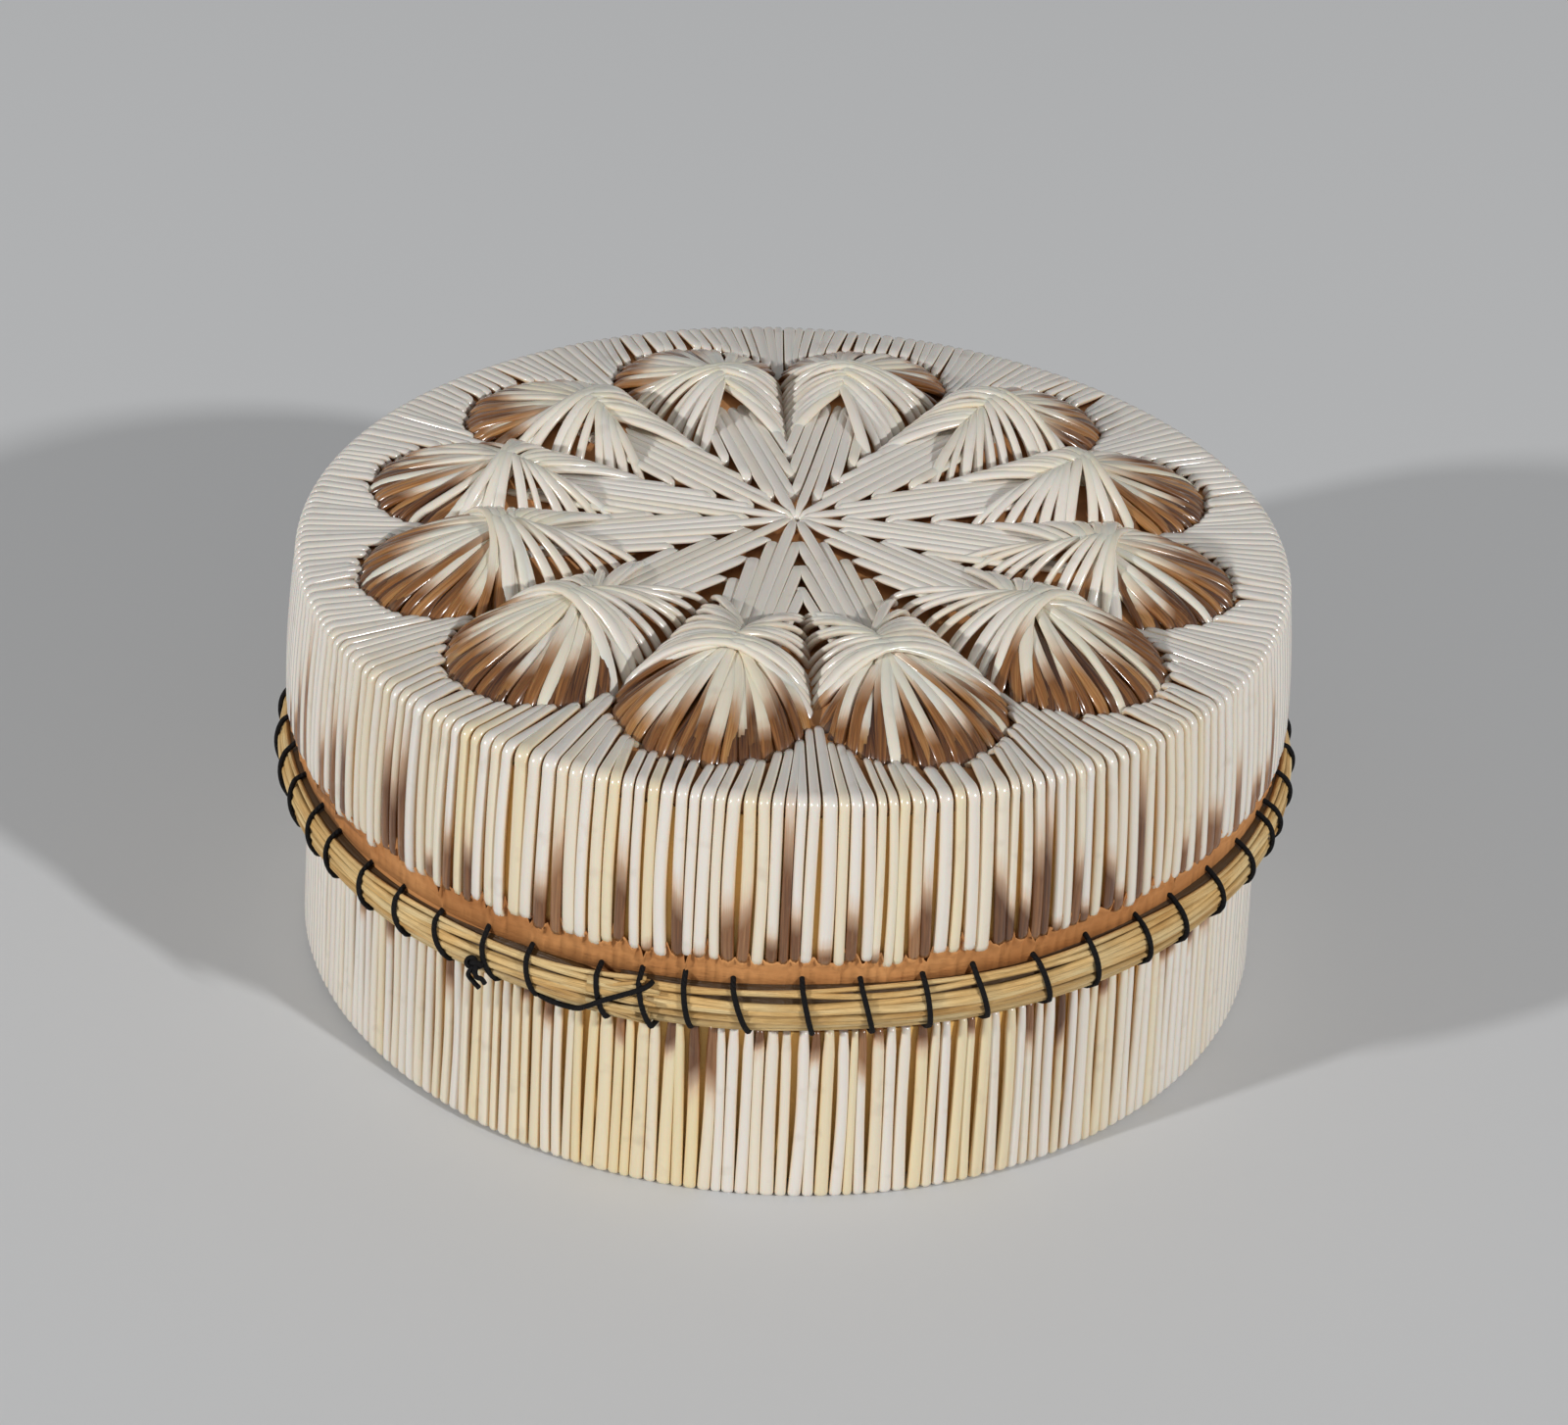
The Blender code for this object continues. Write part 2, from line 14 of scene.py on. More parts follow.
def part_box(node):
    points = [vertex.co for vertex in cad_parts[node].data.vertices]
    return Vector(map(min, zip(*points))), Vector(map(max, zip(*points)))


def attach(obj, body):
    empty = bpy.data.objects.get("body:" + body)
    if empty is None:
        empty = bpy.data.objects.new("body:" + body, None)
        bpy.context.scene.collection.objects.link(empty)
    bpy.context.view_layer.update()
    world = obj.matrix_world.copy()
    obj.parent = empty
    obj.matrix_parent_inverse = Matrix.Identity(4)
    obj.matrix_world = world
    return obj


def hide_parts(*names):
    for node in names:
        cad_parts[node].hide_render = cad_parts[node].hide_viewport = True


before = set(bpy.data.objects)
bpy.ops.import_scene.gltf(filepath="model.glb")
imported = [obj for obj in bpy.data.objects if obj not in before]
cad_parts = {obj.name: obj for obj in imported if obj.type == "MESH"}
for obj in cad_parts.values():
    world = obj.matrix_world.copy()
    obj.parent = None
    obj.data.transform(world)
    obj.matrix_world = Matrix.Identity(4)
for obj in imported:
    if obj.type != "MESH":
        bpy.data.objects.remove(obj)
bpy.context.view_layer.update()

TURN = 2 * pi
MILLIMETRE = 0.001

# Seeds of the random draws, one for each kind of piece
LID_SEED = 11
BASE_SEED = 23
PETAL_SEED = 31
GRASS_SEED = 47
THREAD_SEED = 53
LIP_SEED = 61

# Quills: their depth, how much of their room they fill, and how far they stray
QUILLS_AROUND = 252
QUILL_SIDES = 10
QUILL_DEPTH = 0.0011
QUILL_SQUARENESS_SHARE = 0.92
QUILL_BED = 0.00005
PITCH_SPREAD_SHARE = 0.12
COVER_SHARE = 1.04
COVER_LIMIT_SHARES = (0.74, 1.08)
COVER_SPREAD_SHARE = 0.05
FRONT_OPENING_SHARE = 0.15
SWAY = 0.00016
LEAN_SPREAD = 0.00022
BEND_RADIUS = 0.0015
WALL_BOW_POWER = 1.7
END_ROUND_SHARE = 0.62
POINTED_END_SHARE = 0.5
CROSSING_END_SHARE = 0.45
FRONT = radians(-94)
SIDE_BROWN_SHARE = 0.45
SIDE_BROWN_REACH_SHARES = (0.3, 0.8)
SIDE_YELLOW_SHARE = 0.12
SIDE_YELLOW_REACH_SHARES = (0.3, 0.9)
YELLOW_POWER = 1.8
YELLOW_RUN = 4
BROWN_SPREAD_SHARE = 0.5
BROWN_FADE_SHARES = (0.2, 1.2)

# How a quill's end goes into its hole, in shares of PLUNGE: along its run, and into the bark
PLUNGE = 0.0011
HOOK_SHARES = ((1 / 3, 1 / 8), (0, 1 / 2), (-1 / 6, 1))
LOW_HOOK_SHARES = ((0, 1), (1 / 6, 1 / 2), (1 / 2, 1 / 8))

# The lid's quills: their lower ends rise to one side, and they lean towards the notches
LOWER_EDGE_TILT = 0.0012
LOWER_EDGE_TURN = radians(-4)
LOWER_EDGE_JITTER = 0.00035
NOTCH_LEAN = radians(1.0)
NOTCH_LEAN_JITTER = radians(0.3)
NOTCH_REACH = 0.0035
NOTCH_REACH_SHARES = (0.3, 1.0)
NOTCH_WIDTH = radians(1.3)
BORDER_END_JITTER = 0.0004
BORDER_END_COVER_SHARE = 0.92
BORDER_PALE_SHARE = 0.85
BROWN_LID_SHARE = 0.50
BROWN_LID_LENGTH = 0.0125
YELLOW_LID_SHIFT = 0.35

# The bark's torn edge above the rim; its profile is steps out, shares of its bulge, and drops
LIP_COVER = 0.00030
LIP_PEAK = 0.00200
LIP_PEAK_SHARES = (0.1, 1.6)
LIP_PEAK_POWER = 1.4
LIP_BULGE = 0.00090
LIP_HOLLOW_SHARE = 0.25
LIP_ROUGHNESS = 0.00018
LIP_COLUMN_SHARES = (-0.5, -0.3, -0.1, 0.1, 0.3)
LIP_GAP = 0.0001
LIP_BACK = -0.0003
LIP_FOOT_COVER = 0.0005
LIP_PROFILE = ((0.00006, 0, 0.0022), (0, 0.45, 0.0010), (0, 1, 0.00025), (0, 0.92, 0), (0, 0.70, 0.00005),
               (0, 0.20, 0.0009), (LIP_BACK, 0, 0.0022))
SLIT_DEPTH = 0.0014
SLIT_DEPTH_SHARES = (0.5, 1.2)
SLIT_HALF_ANGLE = 0.0035

# The base's quills
FOOT_END = 0.0600
FOOT_BEND_RADIUS = 0.0005
FOOT_LIFT = 0.0007
FOOT_LIFT_ANGLE = radians(-150)
FOOT_LIFT_WIDTH = radians(28)
FOOT_LIFT_FADE = (0.0015, 0.0120)
FOOT_COVER_SHARE = 1.08
FOOT_CLOSING_SHARE = 0.11
FOOT_CLOSING_REACH_SHARE = 0.6
THROAT_SHARE = 0.74
THROAT_START_SHARE = 0.86
TURN_IN = 1.6 * QUILL_DEPTH
BROWN_BASE_SHARE = 0.22
BROWN_BASE_LENGTH = 0.0050
BROWN_BASE_START = 0.0022
DARK_PAIR_ANGLE = radians(-101)
DARK_PAIR_LENGTH = 2.6 * BROWN_BASE_LENGTH
YELLOW_BASE_SHIFT = 0.30
YELLOW_CLUSTER_SHIFT = 0.75
YELLOW_CLUSTER_ANGLE = radians(-111)
YELLOW_CLUSTER_WIDTH = radians(8)

# Petals: each dome's apex is a little off its middle line and nearer or farther out
PETALS = 12
APEX_DRIFTS_DEG = (-0.2, 0.0, 1.8, -0.9, 0.3, 1.9, -1.8, -0.4, 1.6, -2.5, 1.3, -1.6)
APEX_REACHES_MM = (44.1, 45.1, 42.2, 40.8, 41.6, 42.4, 42.6, 42.8, 43.6, 44.2, 42.8, 44.2)
PETAL_QUILL_DEPTH = 0.00086
FAN_CENTRE = 0.0492
FAN_RADIUS = 0.0133
FLANK_GAP = -0.0002
EDGE_CLEARANCE = 0.00035
RIDGE_FOOT = 0.0040
RIDGE_FROM = 0.0345
DOME_POWER = 1.5
DOME_CENTRE_SHARE = 0.8
CROWDING_SHARE = 0.11
CROWN_HEIGHT = 0.0025
CROWN_REACH = 0.060
SWELL_START = 0.0260
SWELL_SHARE = 0.72

# The star's shaft quills
SHAFT_QUILLS = 7
SHAFT_RINGS = 16
SHAFT_PITCH = 0.00162
SHAFT_HALF_WIDTH = 0.00083
SHAFT_WIDTH_SPREAD_SHARE = 0.06
SHAFT_NARROWING_SHARE = 0.16
SHAFT_INSET_SHARE = 0.4
SHAFT_END_JITTER = 0.0006
SHAFT_END_STEPS = (-0.0002, 0, 0.0008)
SHAFT_TIP = 0.0009
SHAFT_TIP_JITTER = 0.0005
SHAFT_POINT_SHARE = 0.62
SHAFT_POINT_REACH = (0.0005, 0.005)
SHAFT_TOP = 0.0405
SHAFT_TOP_SPREAD_SHARE = 0.1
SHAFT_CREST = 0.0031
SHAFT_YELLOW_SHIFT = -0.1
SHAFT_SKEW = radians(1.2)
SHAFT_SKEW_SHARE = 0.3
STACK_JITTER = 0.00018

# The fans' quills, in a lower brown layer deepened as painted shade, and an upper one
FAN_QUILLS = 20
FAN_RINGS = 19
FAN_HALF_WIDTH = 0.00088
FAN_WIDTH_SHARE = 0.98
FAN_WIDTH_SPREAD_SHARE = 0.09
FAN_START_WIDTH_SHARE = 0.72
FAN_DEPTH_SHARES = (0.8, 0.45)
FAN_SPREAD = 0.0196
FAN_JITTER = 0.00030
FAN_OVERHANG = 0.0003
FAN_OVERHANG_SPREAD_SHARE = 0.7
FAN_TUCK = 0.0010
FAN_START_SPREAD = 0.0007
FAN_BOW = 0.0004
FAN_PILE = 0.0009
FAN_DROP = 0.0016
FAN_PLUNGE = 1.5 * PLUNGE
FAN_PLUNGE_POWER = 16
FAN_END = 0.0021
FAN_YELLOW = (0.55, 0.35)
WHITE_FAN_SHARE = 0.08
BROWN_FAN_LENGTH = 0.0138
BROWN_FAN_SPREAD_SHARE = 0.36
LOWER_FAN_SHADE_TONE = -1.2
LOWER_FAN_DROP = 0.0006

# The quills that cross over each dome's ridge; the last ones run through to the other flank
CROSSING_QUILLS = 19
CROSSING_THROUGH = 6
CROSSING_RINGS = 21
CROSSING_HALF_WIDTH = 0.00078
CROSSING_WIDTH_SPREAD_SHARE = 0.12
CROSSING_WIDTH_SHARES = (0.15, 0.16, 0.14)
CROSSING_DEPTH_SHARE = 1.1
CROSSING_JITTER = 0.0006
CROSSING_PLUNGE = 1.3 * PLUNGE
CROSSING_PLUNGE_POWER = 24
CROSSING_BROWN_LENGTH = 0.0080
WHITE_CROSSING_SHARE = 0.25
CREST_START = 0.0375
CREST_PAST_APEX = 0.0008
CREST_POWER = 0.95
CREST_YELLOW = 0.4
CREST_YELLOW_WIDTH_SHARE = 0.22
FLANK_START_ARC = 0.0480
FLANK_END_ARC = 0.0238
FLANK_POWER = 2.2
FAR_START_ARC = 0.0275
FAR_END_ARC = 0.0212
FAR_JITTER = 0.0004
HIDDEN_DROP = 0.0030
HIDDEN_RUN_SHARES = (0.55, 0.5)

# Bark sheets: thicknesses, waves along them, and how far their laps thin out
COLLAR_THICKNESS = 0.0011
LINING_THICKNESS = 0.0008
WALL_COLUMNS = 420
LID_WALL_LAP = (radians(60), radians(7))
BASE_WALL_LAP = (radians(100), radians(6))
COLLAR_LAP = (radians(-60), radians(9))
LINING_LAP = (radians(40), radians(9))
WALL_WAVES = ((0.00012, 7, 0), (0.00008, 17, 1))
SKIVE_SHARE = 0.35
DISC_RINGS = 30
DISC_SPOKES = 240
DISC_INSET = 0.0001
DISC_WAVE = 0.00010
DISC_WAVES_AROUND = 3
DISC_WAVES_OUT = 9
TOP_RINGS = 110
TOP_SPOKES = 480
SHARP_ANGLE = radians(40)

# The sweetgrass bundle: blades over a core, its tilt and its thin place at the front left
GRASS_BLADES = 9
GRASS_CORES = 4
GRASS_RINGS = 330
GRASS_SIDES = 10
GRASS_SQUARENESS_SHARE = 0.8
BLADE_SHARE = 0.86
BLADE_HALF_DEPTH = 0.00055
BLADE_HALF_WIDTH = 0.00050
CORE_SHARE = 0.62
CORE_HALF_DEPTH = 0.00110
CORE_HALF_WIDTH = 0.00125
CORE_INSET = 0.0009
GRASS_RANK_LIMIT = 1.15
GRASS_DRIFT_SHARES = (0.07, 0.05)
GRASS_SPLAY_SHARE = 0.35
GRASS_DEPTH_SPREAD_SHARE = 0.15
GRASS_WIDTH_SPREAD_SHARE = 0.28
GRASS_WIDTH_WAVE_SHARE = 0.10
GRASS_WEAVE = 0.00016
GRASS_DRIFT_WAVES = ((2, 5), (9, 17))
GRASS_WEAVE_WAVES = (5, 11)
GRASS_WIDTH_WAVES = (5, 9)
GRASS_START_SHARES = (0.2, 1.0)
GRASS_END_SHARES = (-0.25, 0.05)
GRASS_TIP_SHARE = 0.6
RIM_TILT = 0.0012
RIM_TILT_TURN = radians(-45)
RIM_SWELL_SHARE = 1.10
RIM_ROUND_SHARE = 0.88
RIM_FACING = 0.9
RIM_DIP = 0.0009
RIM_DIP_ANGLE = radians(-135)
RIM_DIP_WIDTH = radians(24)
RIM_THIN_SHARE = 0.26

# The bundle's lap and the blades that fray where it is cut
LAP_ANGLE = radians(-106.5)
LAP_WIDTH = radians(4.5)
LAP_LOOSE_ANGLE = 4 * LAP_WIDTH
LAP_LIFT = 0.0009
LAP_LEAN_SHARE = 0.25
FRAYED_ENDS = 11
FRAYED_RINGS = 9
FRAYED_HALF_WIDTH = 0.00042
FRAYED_WIDTH_SHARES = (0.6, 1.2)
FRAYED_RANK_LIMIT = 0.95
FRAYED_RUN_SHARE = 1.4
FRAYED_PAST_SHARES = (-0.2, 0.3)
FRAYED_LIFT_SHARE = 0.7
LAP_DROP_SHARE = 0.3

# The thread: where its stitches stand, and the ranks of the bundle they pass, 1 above to -1 below
THREAD_DIAMETER = 0.00075
THREAD_SIDES = 8
STITCHES = 56
STITCH_LEAN = radians(1.35)
STITCH_LEAN_SPREAD_SHARE = 0.35
STITCH_ANGLES_DEG = (-169, -163, -156, -151, -144, -138, -132, -125.5, -120, -112, -107.5, -103,
                     -98, -91, -85, -78.5, -73, -66, -59.5, -52.5, -47, -40, -33, -26.5, -23.5)
STITCH_RANKS = (0.97, 0.80, 0.52, 0.18, -0.18, -0.52, -0.80, -0.97)
HOLE_RISE = 0.0010
HOLE_JITTER = 0.0002
HOLE_DEPTH = 0.0009
HOLE_LIP = 0.0001
HOLE_APPROACH = 0.0004
UNDER_EDGE = 0.0004
INSIDE_STEPS = (0.0006, 0.0022)
INSIDE_RUN_SHARES = (0.3, 0.9, 0.97)
STITCH_START_SHARES = (0.10, 0.05)
STITCH_END_SHARES = (1.02, 1.04)
STITCH_SEAT_SHARES = (0.6, 0.8)
STITCH_FULLNESS_SHARE = 1.04

# A stitch that crosses its neighbour at the lap: degrees, rank in the bundle, and thread widths out
CROSSED_STITCH = ((-119.6, -0.75, -0.6), (-119.0, -1.0, 0.2), (-117.0, -1.08, 0.7), (-114.2, -0.98, 0.8),
                  (-112.5, -0.35, 1.2), (-110.5, 0.25, 1.3), (-108.0, 0.70, 1.1), (-106.6, 0.90, 0.5),
                  (-106.2, 0.96, -0.6))

# The knot, and the way of its two cut ends: sideways, up and out
KNOT_ANGLE = radians(-125.6)
KNOT_SIZE = 0.00036
KNOT_POINTS = 60
KNOT_END_SHARE = 0.9
KNOT_ENDS_MM = (((0.2, 0, 0.3), (-0.4, -1.2, 0.7), (0.3, -2.3, 0.5), (1.1, -3.1, 0.3)),
                ((0.3, -0.2, 0.3), (1.0, -1.0, 0.8), (1.7, -1.2, 0.6), (2.1, -1.9, 0.4)))

# Camera: its place, aim, roll and lens in the photograph's frame, which is turned from the box's
VIEW_TURN = radians(-4.1)
CAMERA_PLACE = (0.00044, -0.4082, 0.2811)
CAMERA_PITCH = radians(31.32)
CAMERA_YAW = radians(-0.104)
CAMERA_ROLL = radians(2.792)
CAMERA_LENS = 74.757
SENSOR_WIDTH = 36

# Lamps: azimuth from +X in the photograph's frame, elevation and power
LAMPS = {"right_lamp": (radians(-40.8), radians(26.2), 126),
         "left_lamp": (radians(-148.7), radians(20.5), 131)}
LAMP_DISTANCE = 5.0
LAMP_SIZE = 0.25
AMBIENT = 0.27
FLOOR_SIZE = 6

# Colours of quills, and of their brown tips from the darkest to the lightest; a glow painted on their edges,
# and a grey of dust and painted shade for their tops
WALL_QUILL = ((0.83, 0.78, 0.71), (0.84, 0.71, 0.44))
PETAL_QUILL = ((0.87, 0.815, 0.745), (0.88, 0.775, 0.58))
WALL_TIPS = ((0.075, 0.026, 0.008), (0.200, 0.083, 0.028), (0.38, 0.19, 0.080))
PETAL_TIPS = ((0.055, 0.014, 0.003), (0.270, 0.104, 0.023), (0.54, 0.27, 0.090))
QUILL_SHADE = (0.62, 0.52, 0.40)
QUILL_TAN = (0.58, 0.32, 0.135)
QUILL_POINT = (0.06, 0.02, 0.006)
QUILL_LINES = (0.50, 0.42, 0.32)
QUILL_STAINS = (0.42, 0.34, 0.24)
# A golden glow painted on the quills' upright edges, for light through the translucent quills
QUILL_GLOW_PAINT = (1.0, 0.74, 0.40)
# A grey for upward faces: dust, and painted shade that darkens the quills' tops
QUILL_DUST_AND_SHADE = (0.78, 0.80, 0.84)
GLOW_PAINT_FADE = (0.040, 0.068)
QUILL_SURFACE = {"Specular IOR Level": 0.25, "Coat Weight": 1.0, "Coat Roughness": 0.16, "Coat IOR": 1.55,
                 "Subsurface Weight": 0.15, "Subsurface Scale": 0.001}

# Colours of bark, light and dark, of its marks, and the amber glow painted where quills cover it
BARK_TONES = ((0.77, 0.38, 0.140), (0.57, 0.245, 0.078))
TOP_TONES = ((0.66, 0.34, 0.145), (0.50, 0.235, 0.085))
LINING_TONES = ((0.66, 0.44, 0.25), (0.55, 0.33, 0.17))
BARK_GRAIN = (0.46, 0.30, 0.18)
BARK_DASHES = (0.10, 0.045, 0.02)
BARK_SPECKS = (0.25, 0.12, 0.055)
# Painted glow: bark under the quills turns bright amber, for light through the translucent quills
AMBER_GLOW_PAINT = (0.95, 0.60, 0.19)
AMBER_GLOW_PAINT_SHARE = 0.9

# Colours of grass, thread and floor
GRASS_TONES = ((0.75, 0.42, 0.130), (0.91, 0.59, 0.23), (0.98, 0.75, 0.38))
GRASS_BROWN = (0.30, 0.17, 0.05)
GRASS_STRAW = (0.76, 0.58, 0.30)
GRASS_OLIVE = (0.30, 0.22, 0.085)
# Painted shade for the blades' edges, and a near black core painted as the shade between blades
GRASS_EDGE_SHADE = (0.16, 0.085, 0.02)
GRASS_CORE = (0.07, 0.035, 0.010)
THREAD_TONES = ((0.003, 0.003, 0.003), (0.014, 0.013, 0.014))
FLOOR_TONES = ((0.655, 0.664, 0.674), (0.675, 0.684, 0.694))

# Heights and radii of the frame's pieces
LID_QUILL_LOW, LID_QUILL_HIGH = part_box("lid_border_quills")
BASE_QUILL_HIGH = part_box("base_wall_quills")[1]
LID_BARK_LOW, LID_BARK_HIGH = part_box("lid_wall_bark")
BASE_BARK_LOW, BASE_BARK_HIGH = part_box("base_wall_bark")
TOP_BARK_LOW, TOP_BARK_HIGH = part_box("lid_top_bark")
RIM_LOW, RIM_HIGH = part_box("rim_sweetgrass")
COLLAR_LOW, COLLAR_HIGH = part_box("base_collar_bark")
WALL_LINING_LOW, WALL_LINING_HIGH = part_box("lid_wall_lining")
APEX_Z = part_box("petal_quills_01")[1].z

LID_TOP_Z = LID_QUILL_HIGH.z
LID_LOW_RADIUS = LID_BARK_HIGH.x
TOP_BARK_RADIUS = TOP_BARK_HIGH.x
BARK_THICKNESS = TOP_BARK_HIGH.z - TOP_BARK_LOW.z
SECTOR = pi / PETALS


def smooth(low, high, value):
    share = np.clip((value - low) / (high - low), 0, 1)
    return share * share * (3 - 2 * share)


def unit(vectors):
    return vectors / np.linalg.norm(vectors, axis=-1, keepdims=True)


def polar(radius, angle, height):
    """Points from radii, angles and heights."""
    radius, angle, height = np.broadcast_arrays(radius, angle, height)
    return np.stack([radius * np.cos(angle), radius * np.sin(angle), height], axis=-1)


def wrapped(angle):
    """The same angle, within half a turn of 0."""
    return (angle + pi) % TURN - pi


def bell(angle, middle, width):
    """1 at an angle, falling away on both sides of it."""
    return np.exp(-(wrapped(angle - middle) / width) ** 2)


def run_length(path):
    """How far along a path each of its points is."""
    return np.concatenate([[0], np.cumsum(np.linalg.norm(np.diff(path, axis=0), axis=1))])


def about(draw, size, spread_share):
    """A size with a random spread."""
    return size * (1 + spread_share * draw.standard_normal())


def vertex_grid(rows, columns, first=0, close_rows=False, close_columns=True):
    """Vertex numbers of a grid, with the first row or column again at the end where it closes."""
    numbers = first + np.arange(rows * columns).reshape(rows, columns)
    return np.pad(numbers, ((0, int(close_rows)), (0, int(close_columns))), mode="wrap")


def grid_faces(numbers):
    """Four-sided faces between the neighbours of a grid."""
    corners = [numbers[:-1, :-1], numbers[1:, :-1], numbers[1:, 1:], numbers[:-1, 1:]]
    return np.stack(corners, axis=-1).reshape(-1, 4).tolist()


def add_object(name, data):
    item = bpy.data.objects.new(name, data)
    bpy.context.scene.collection.objects.link(item)
    return item


def add_mesh(name, points, faces, material, sharp=False, shares=None):
    """A smooth mesh, with sharp edges if asked for, and shares of colour on its points."""
    mesh = bpy.data.meshes.new(name)
    mesh.from_pydata(np.asarray(points).tolist(), [], faces)
    for share_name, values in (shares or {}).items():
        attribute = mesh.attributes.new(share_name, "FLOAT", "POINT")
        attribute.data.foreach_set("value", np.concatenate(values).astype(np.float32))
    mesh.shade_smooth()
    if sharp:
        mesh.set_sharp_from_angle(angle=SHARP_ANGLE)
    mesh.materials.append(material)
    return add_object(name, mesh)


def finish_piece(piece, body, slot, *nodes):
    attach(piece, body)
    if nodes:
        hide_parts(*nodes)


class Strands:
    """Flattened tubes gathered into one mesh, with shares of colour on each ring."""

    def __init__(self, sides, squareness_share=1.0):
        turn = TURN * np.arange(sides) / sides
        wave = np.stack([np.cos(turn), np.sin(turn)])
        self.ring = np.sign(wave) * np.abs(wave) ** squareness_share
        self.points = []
        self.faces = []
        self.shares = {}
        self.count = 0

    def add(self, path, up, half_width, half_depth, tone=0.0, brown=0.0, yellow=0.0, dark=0.0):
        """A tube along path, flat against the surface whose normals are up."""
        length = len(path)
        tangent = unit(np.gradient(path, axis=0))
        side = unit(np.cross(tangent, up))
        lift = np.cross(side, tangent)
        across, rise = self.ring
        sides = len(across)
        half_width = np.broadcast_to(half_width, (length,))[:, None, None]
        half_depth = np.broadcast_to(half_depth, (length,))[:, None, None]
        points = (path[:, None] + side[:, None] * half_width * across[None, :, None]
                  + lift[:, None] * half_depth * rise[None, :, None])
        self.points.append(points.reshape(-1, 3))
        for name, value in (("tone", tone), ("brown", brown), ("yellow", yellow), ("dark", dark),
                            ("along", run_length(path))):
            rings = np.broadcast_to(value, (length,))
            self.shares.setdefault(name, []).append(np.repeat(rings, sides))
        self.shares.setdefault("across", []).append(np.tile(across, length))
        numbers = vertex_grid(length, sides, self.count)
        self.faces += grid_faces(numbers)
        self.faces.append(numbers[0, :-1].tolist())
        self.faces.append(numbers[-1, :-1][::-1].tolist())
        self.count += length * sides

    def piece(self, name, material):
        return add_mesh(name, np.concatenate(self.points), self.faces, material, shares=self.shares)


def end_taper(count, ends=(2, 2), least_share=END_ROUND_SHARE):
    """Widths that round off over the first and last rings of a tube."""
    widths = np.ones(count)
    for rings, side in zip(ends, (widths, widths[::-1])):
        shares = np.arange(1, rings + 1) / (rings + 1)
        side[:rings] = least_share + (1 - least_share) * np.sin(shares * pi / 2)
    return widths


def profile_normals(profile, angles):
    """Outward normals of a path given by radii and heights at each angle."""
    step = np.gradient(profile, axis=0)
    normal = unit(np.stack([step[:, 1], -step[:, 0]], axis=-1))
    return polar(normal[:, 0], angles, normal[:, 1])


def corner_arc(before, corner, after, radius, count=5):
    """Points of a round bend between two straight runs of a profile."""
    before, corner, after = (np.asarray(point, float) for point in (before, corner, after))
    inward = unit(before - corner)
    onward = unit(after - corner)
    half = acos(np.clip(inward @ onward, -1, 1)) / 2
    centre = corner + unit(inward + onward) * radius / sin(half)
    start = corner + inward * radius / tan(half)
    end = corner + onward * radius / tan(half)
    shares = np.linspace(0, 1, count)[:, None]
    chord = start * (1 - shares) + end * shares
    return centre + unit(chord - centre) * radius


def spaced(start, end, count):
    """Points after start and before end on a straight run."""
    shares = np.linspace(0, 1, count + 2)[1:-1, None]
    return np.asarray(start) * (1 - shares) + np.asarray(end) * shares


def quill_places(draw):
    """The angle and the room of each quill around a wall, a little uneven."""
    rooms = 1 + PITCH_SPREAD_SHARE * draw.standard_normal(QUILLS_AROUND)
    rooms = np.clip(rooms, 1 - 2 * PITCH_SPREAD_SHARE, 1 + 2 * PITCH_SPREAD_SHARE)
    rooms *= TURN / rooms.sum()
    return np.cumsum(rooms) - rooms / 2, rooms


def rolling_tone(draw, count, width):
    """Random values with neighbours alike, from -1 to 1."""
    values = draw.standard_normal(count)
    window = np.hanning(2 * width + 3)[1:-1]
    padded = np.concatenate([values[-width:], values, values[:width]])
    values = np.convolve(padded, window, mode="valid")
    return values / np.abs(values).max()


def front_share(angle):
    """1 at the front of the box, falling to 0 at its sides."""
    return max(0.0, cos(angle - FRONT))


def front_brown(angle):
    """How many brown tips the lid has against its front."""
    return SIDE_BROWN_SHARE + (1 - SIDE_BROWN_SHARE) * smooth(*SIDE_BROWN_REACH_SHARES, front_share(angle))


def front_yellow(angle):
    """How much of its yellow a quill shows: the sides of the box are paler than its front."""
    return SIDE_YELLOW_SHARE + (1 - SIDE_YELLOW_SHARE) * smooth(*SIDE_YELLOW_REACH_SHARES, front_share(angle))


def quill_cover(draw, angle):
    """How much of its room a quill fills: less at the front, where the bark shows."""
    cover = COVER_SHARE - FRONT_OPENING_SHARE * front_share(angle)
    return float(np.clip(cover + COVER_SPREAD_SHARE * draw.standard_normal(), *COVER_LIMIT_SHARES))


def quill_yellow(draw, shift):
    """Most quills are nearly white, some cream, and a few yellow."""
    return float(np.clip(draw.uniform() ** YELLOW_POWER + shift, 0, 1))


def brown_tip(distance, length):
    """Brown at the end of a quill, fading over its length; none where length is 0."""
    if length <= 0:
        return np.zeros(len(distance))
    return 1 - smooth(*BROWN_FADE_SHARES, distance / length)


def brown_length(draw, share, length):
    """How far a wall's quill is brown: a share of them, for about a length."""
    return about(draw, length, BROWN_SPREAD_SHARE) if draw.uniform() < share else 0.0


def scallop_reach(angle):
    """How far out the petals' fans reach at an angle."""
    offset = (angle / (2 * SECTOR)) % 1 * 2 * SECTOR - SECTOR
    across = FAN_CENTRE * sin(offset)
    return FAN_CENTRE * cos(offset) + sqrt(FAN_RADIUS ** 2 - across ** 2)


def wall_radius(height):
    """The lid's bark wall leans in above the quills' lower edge, more and more."""
    climb = (height - LID_QUILL_LOW.z) / (TOP_BARK_HIGH.z - LID_QUILL_LOW.z)
    return LID_LOW_RADIUS + (TOP_BARK_RADIUS - LID_LOW_RADIUS) * np.clip(climb, 0, 1) ** WALL_BOW_POWER


def crown(radius):
    """The lid's top swells a little towards the star's centre."""
    return CROWN_HEIGHT * (1 - smooth(0, CROWN_REACH, radius))


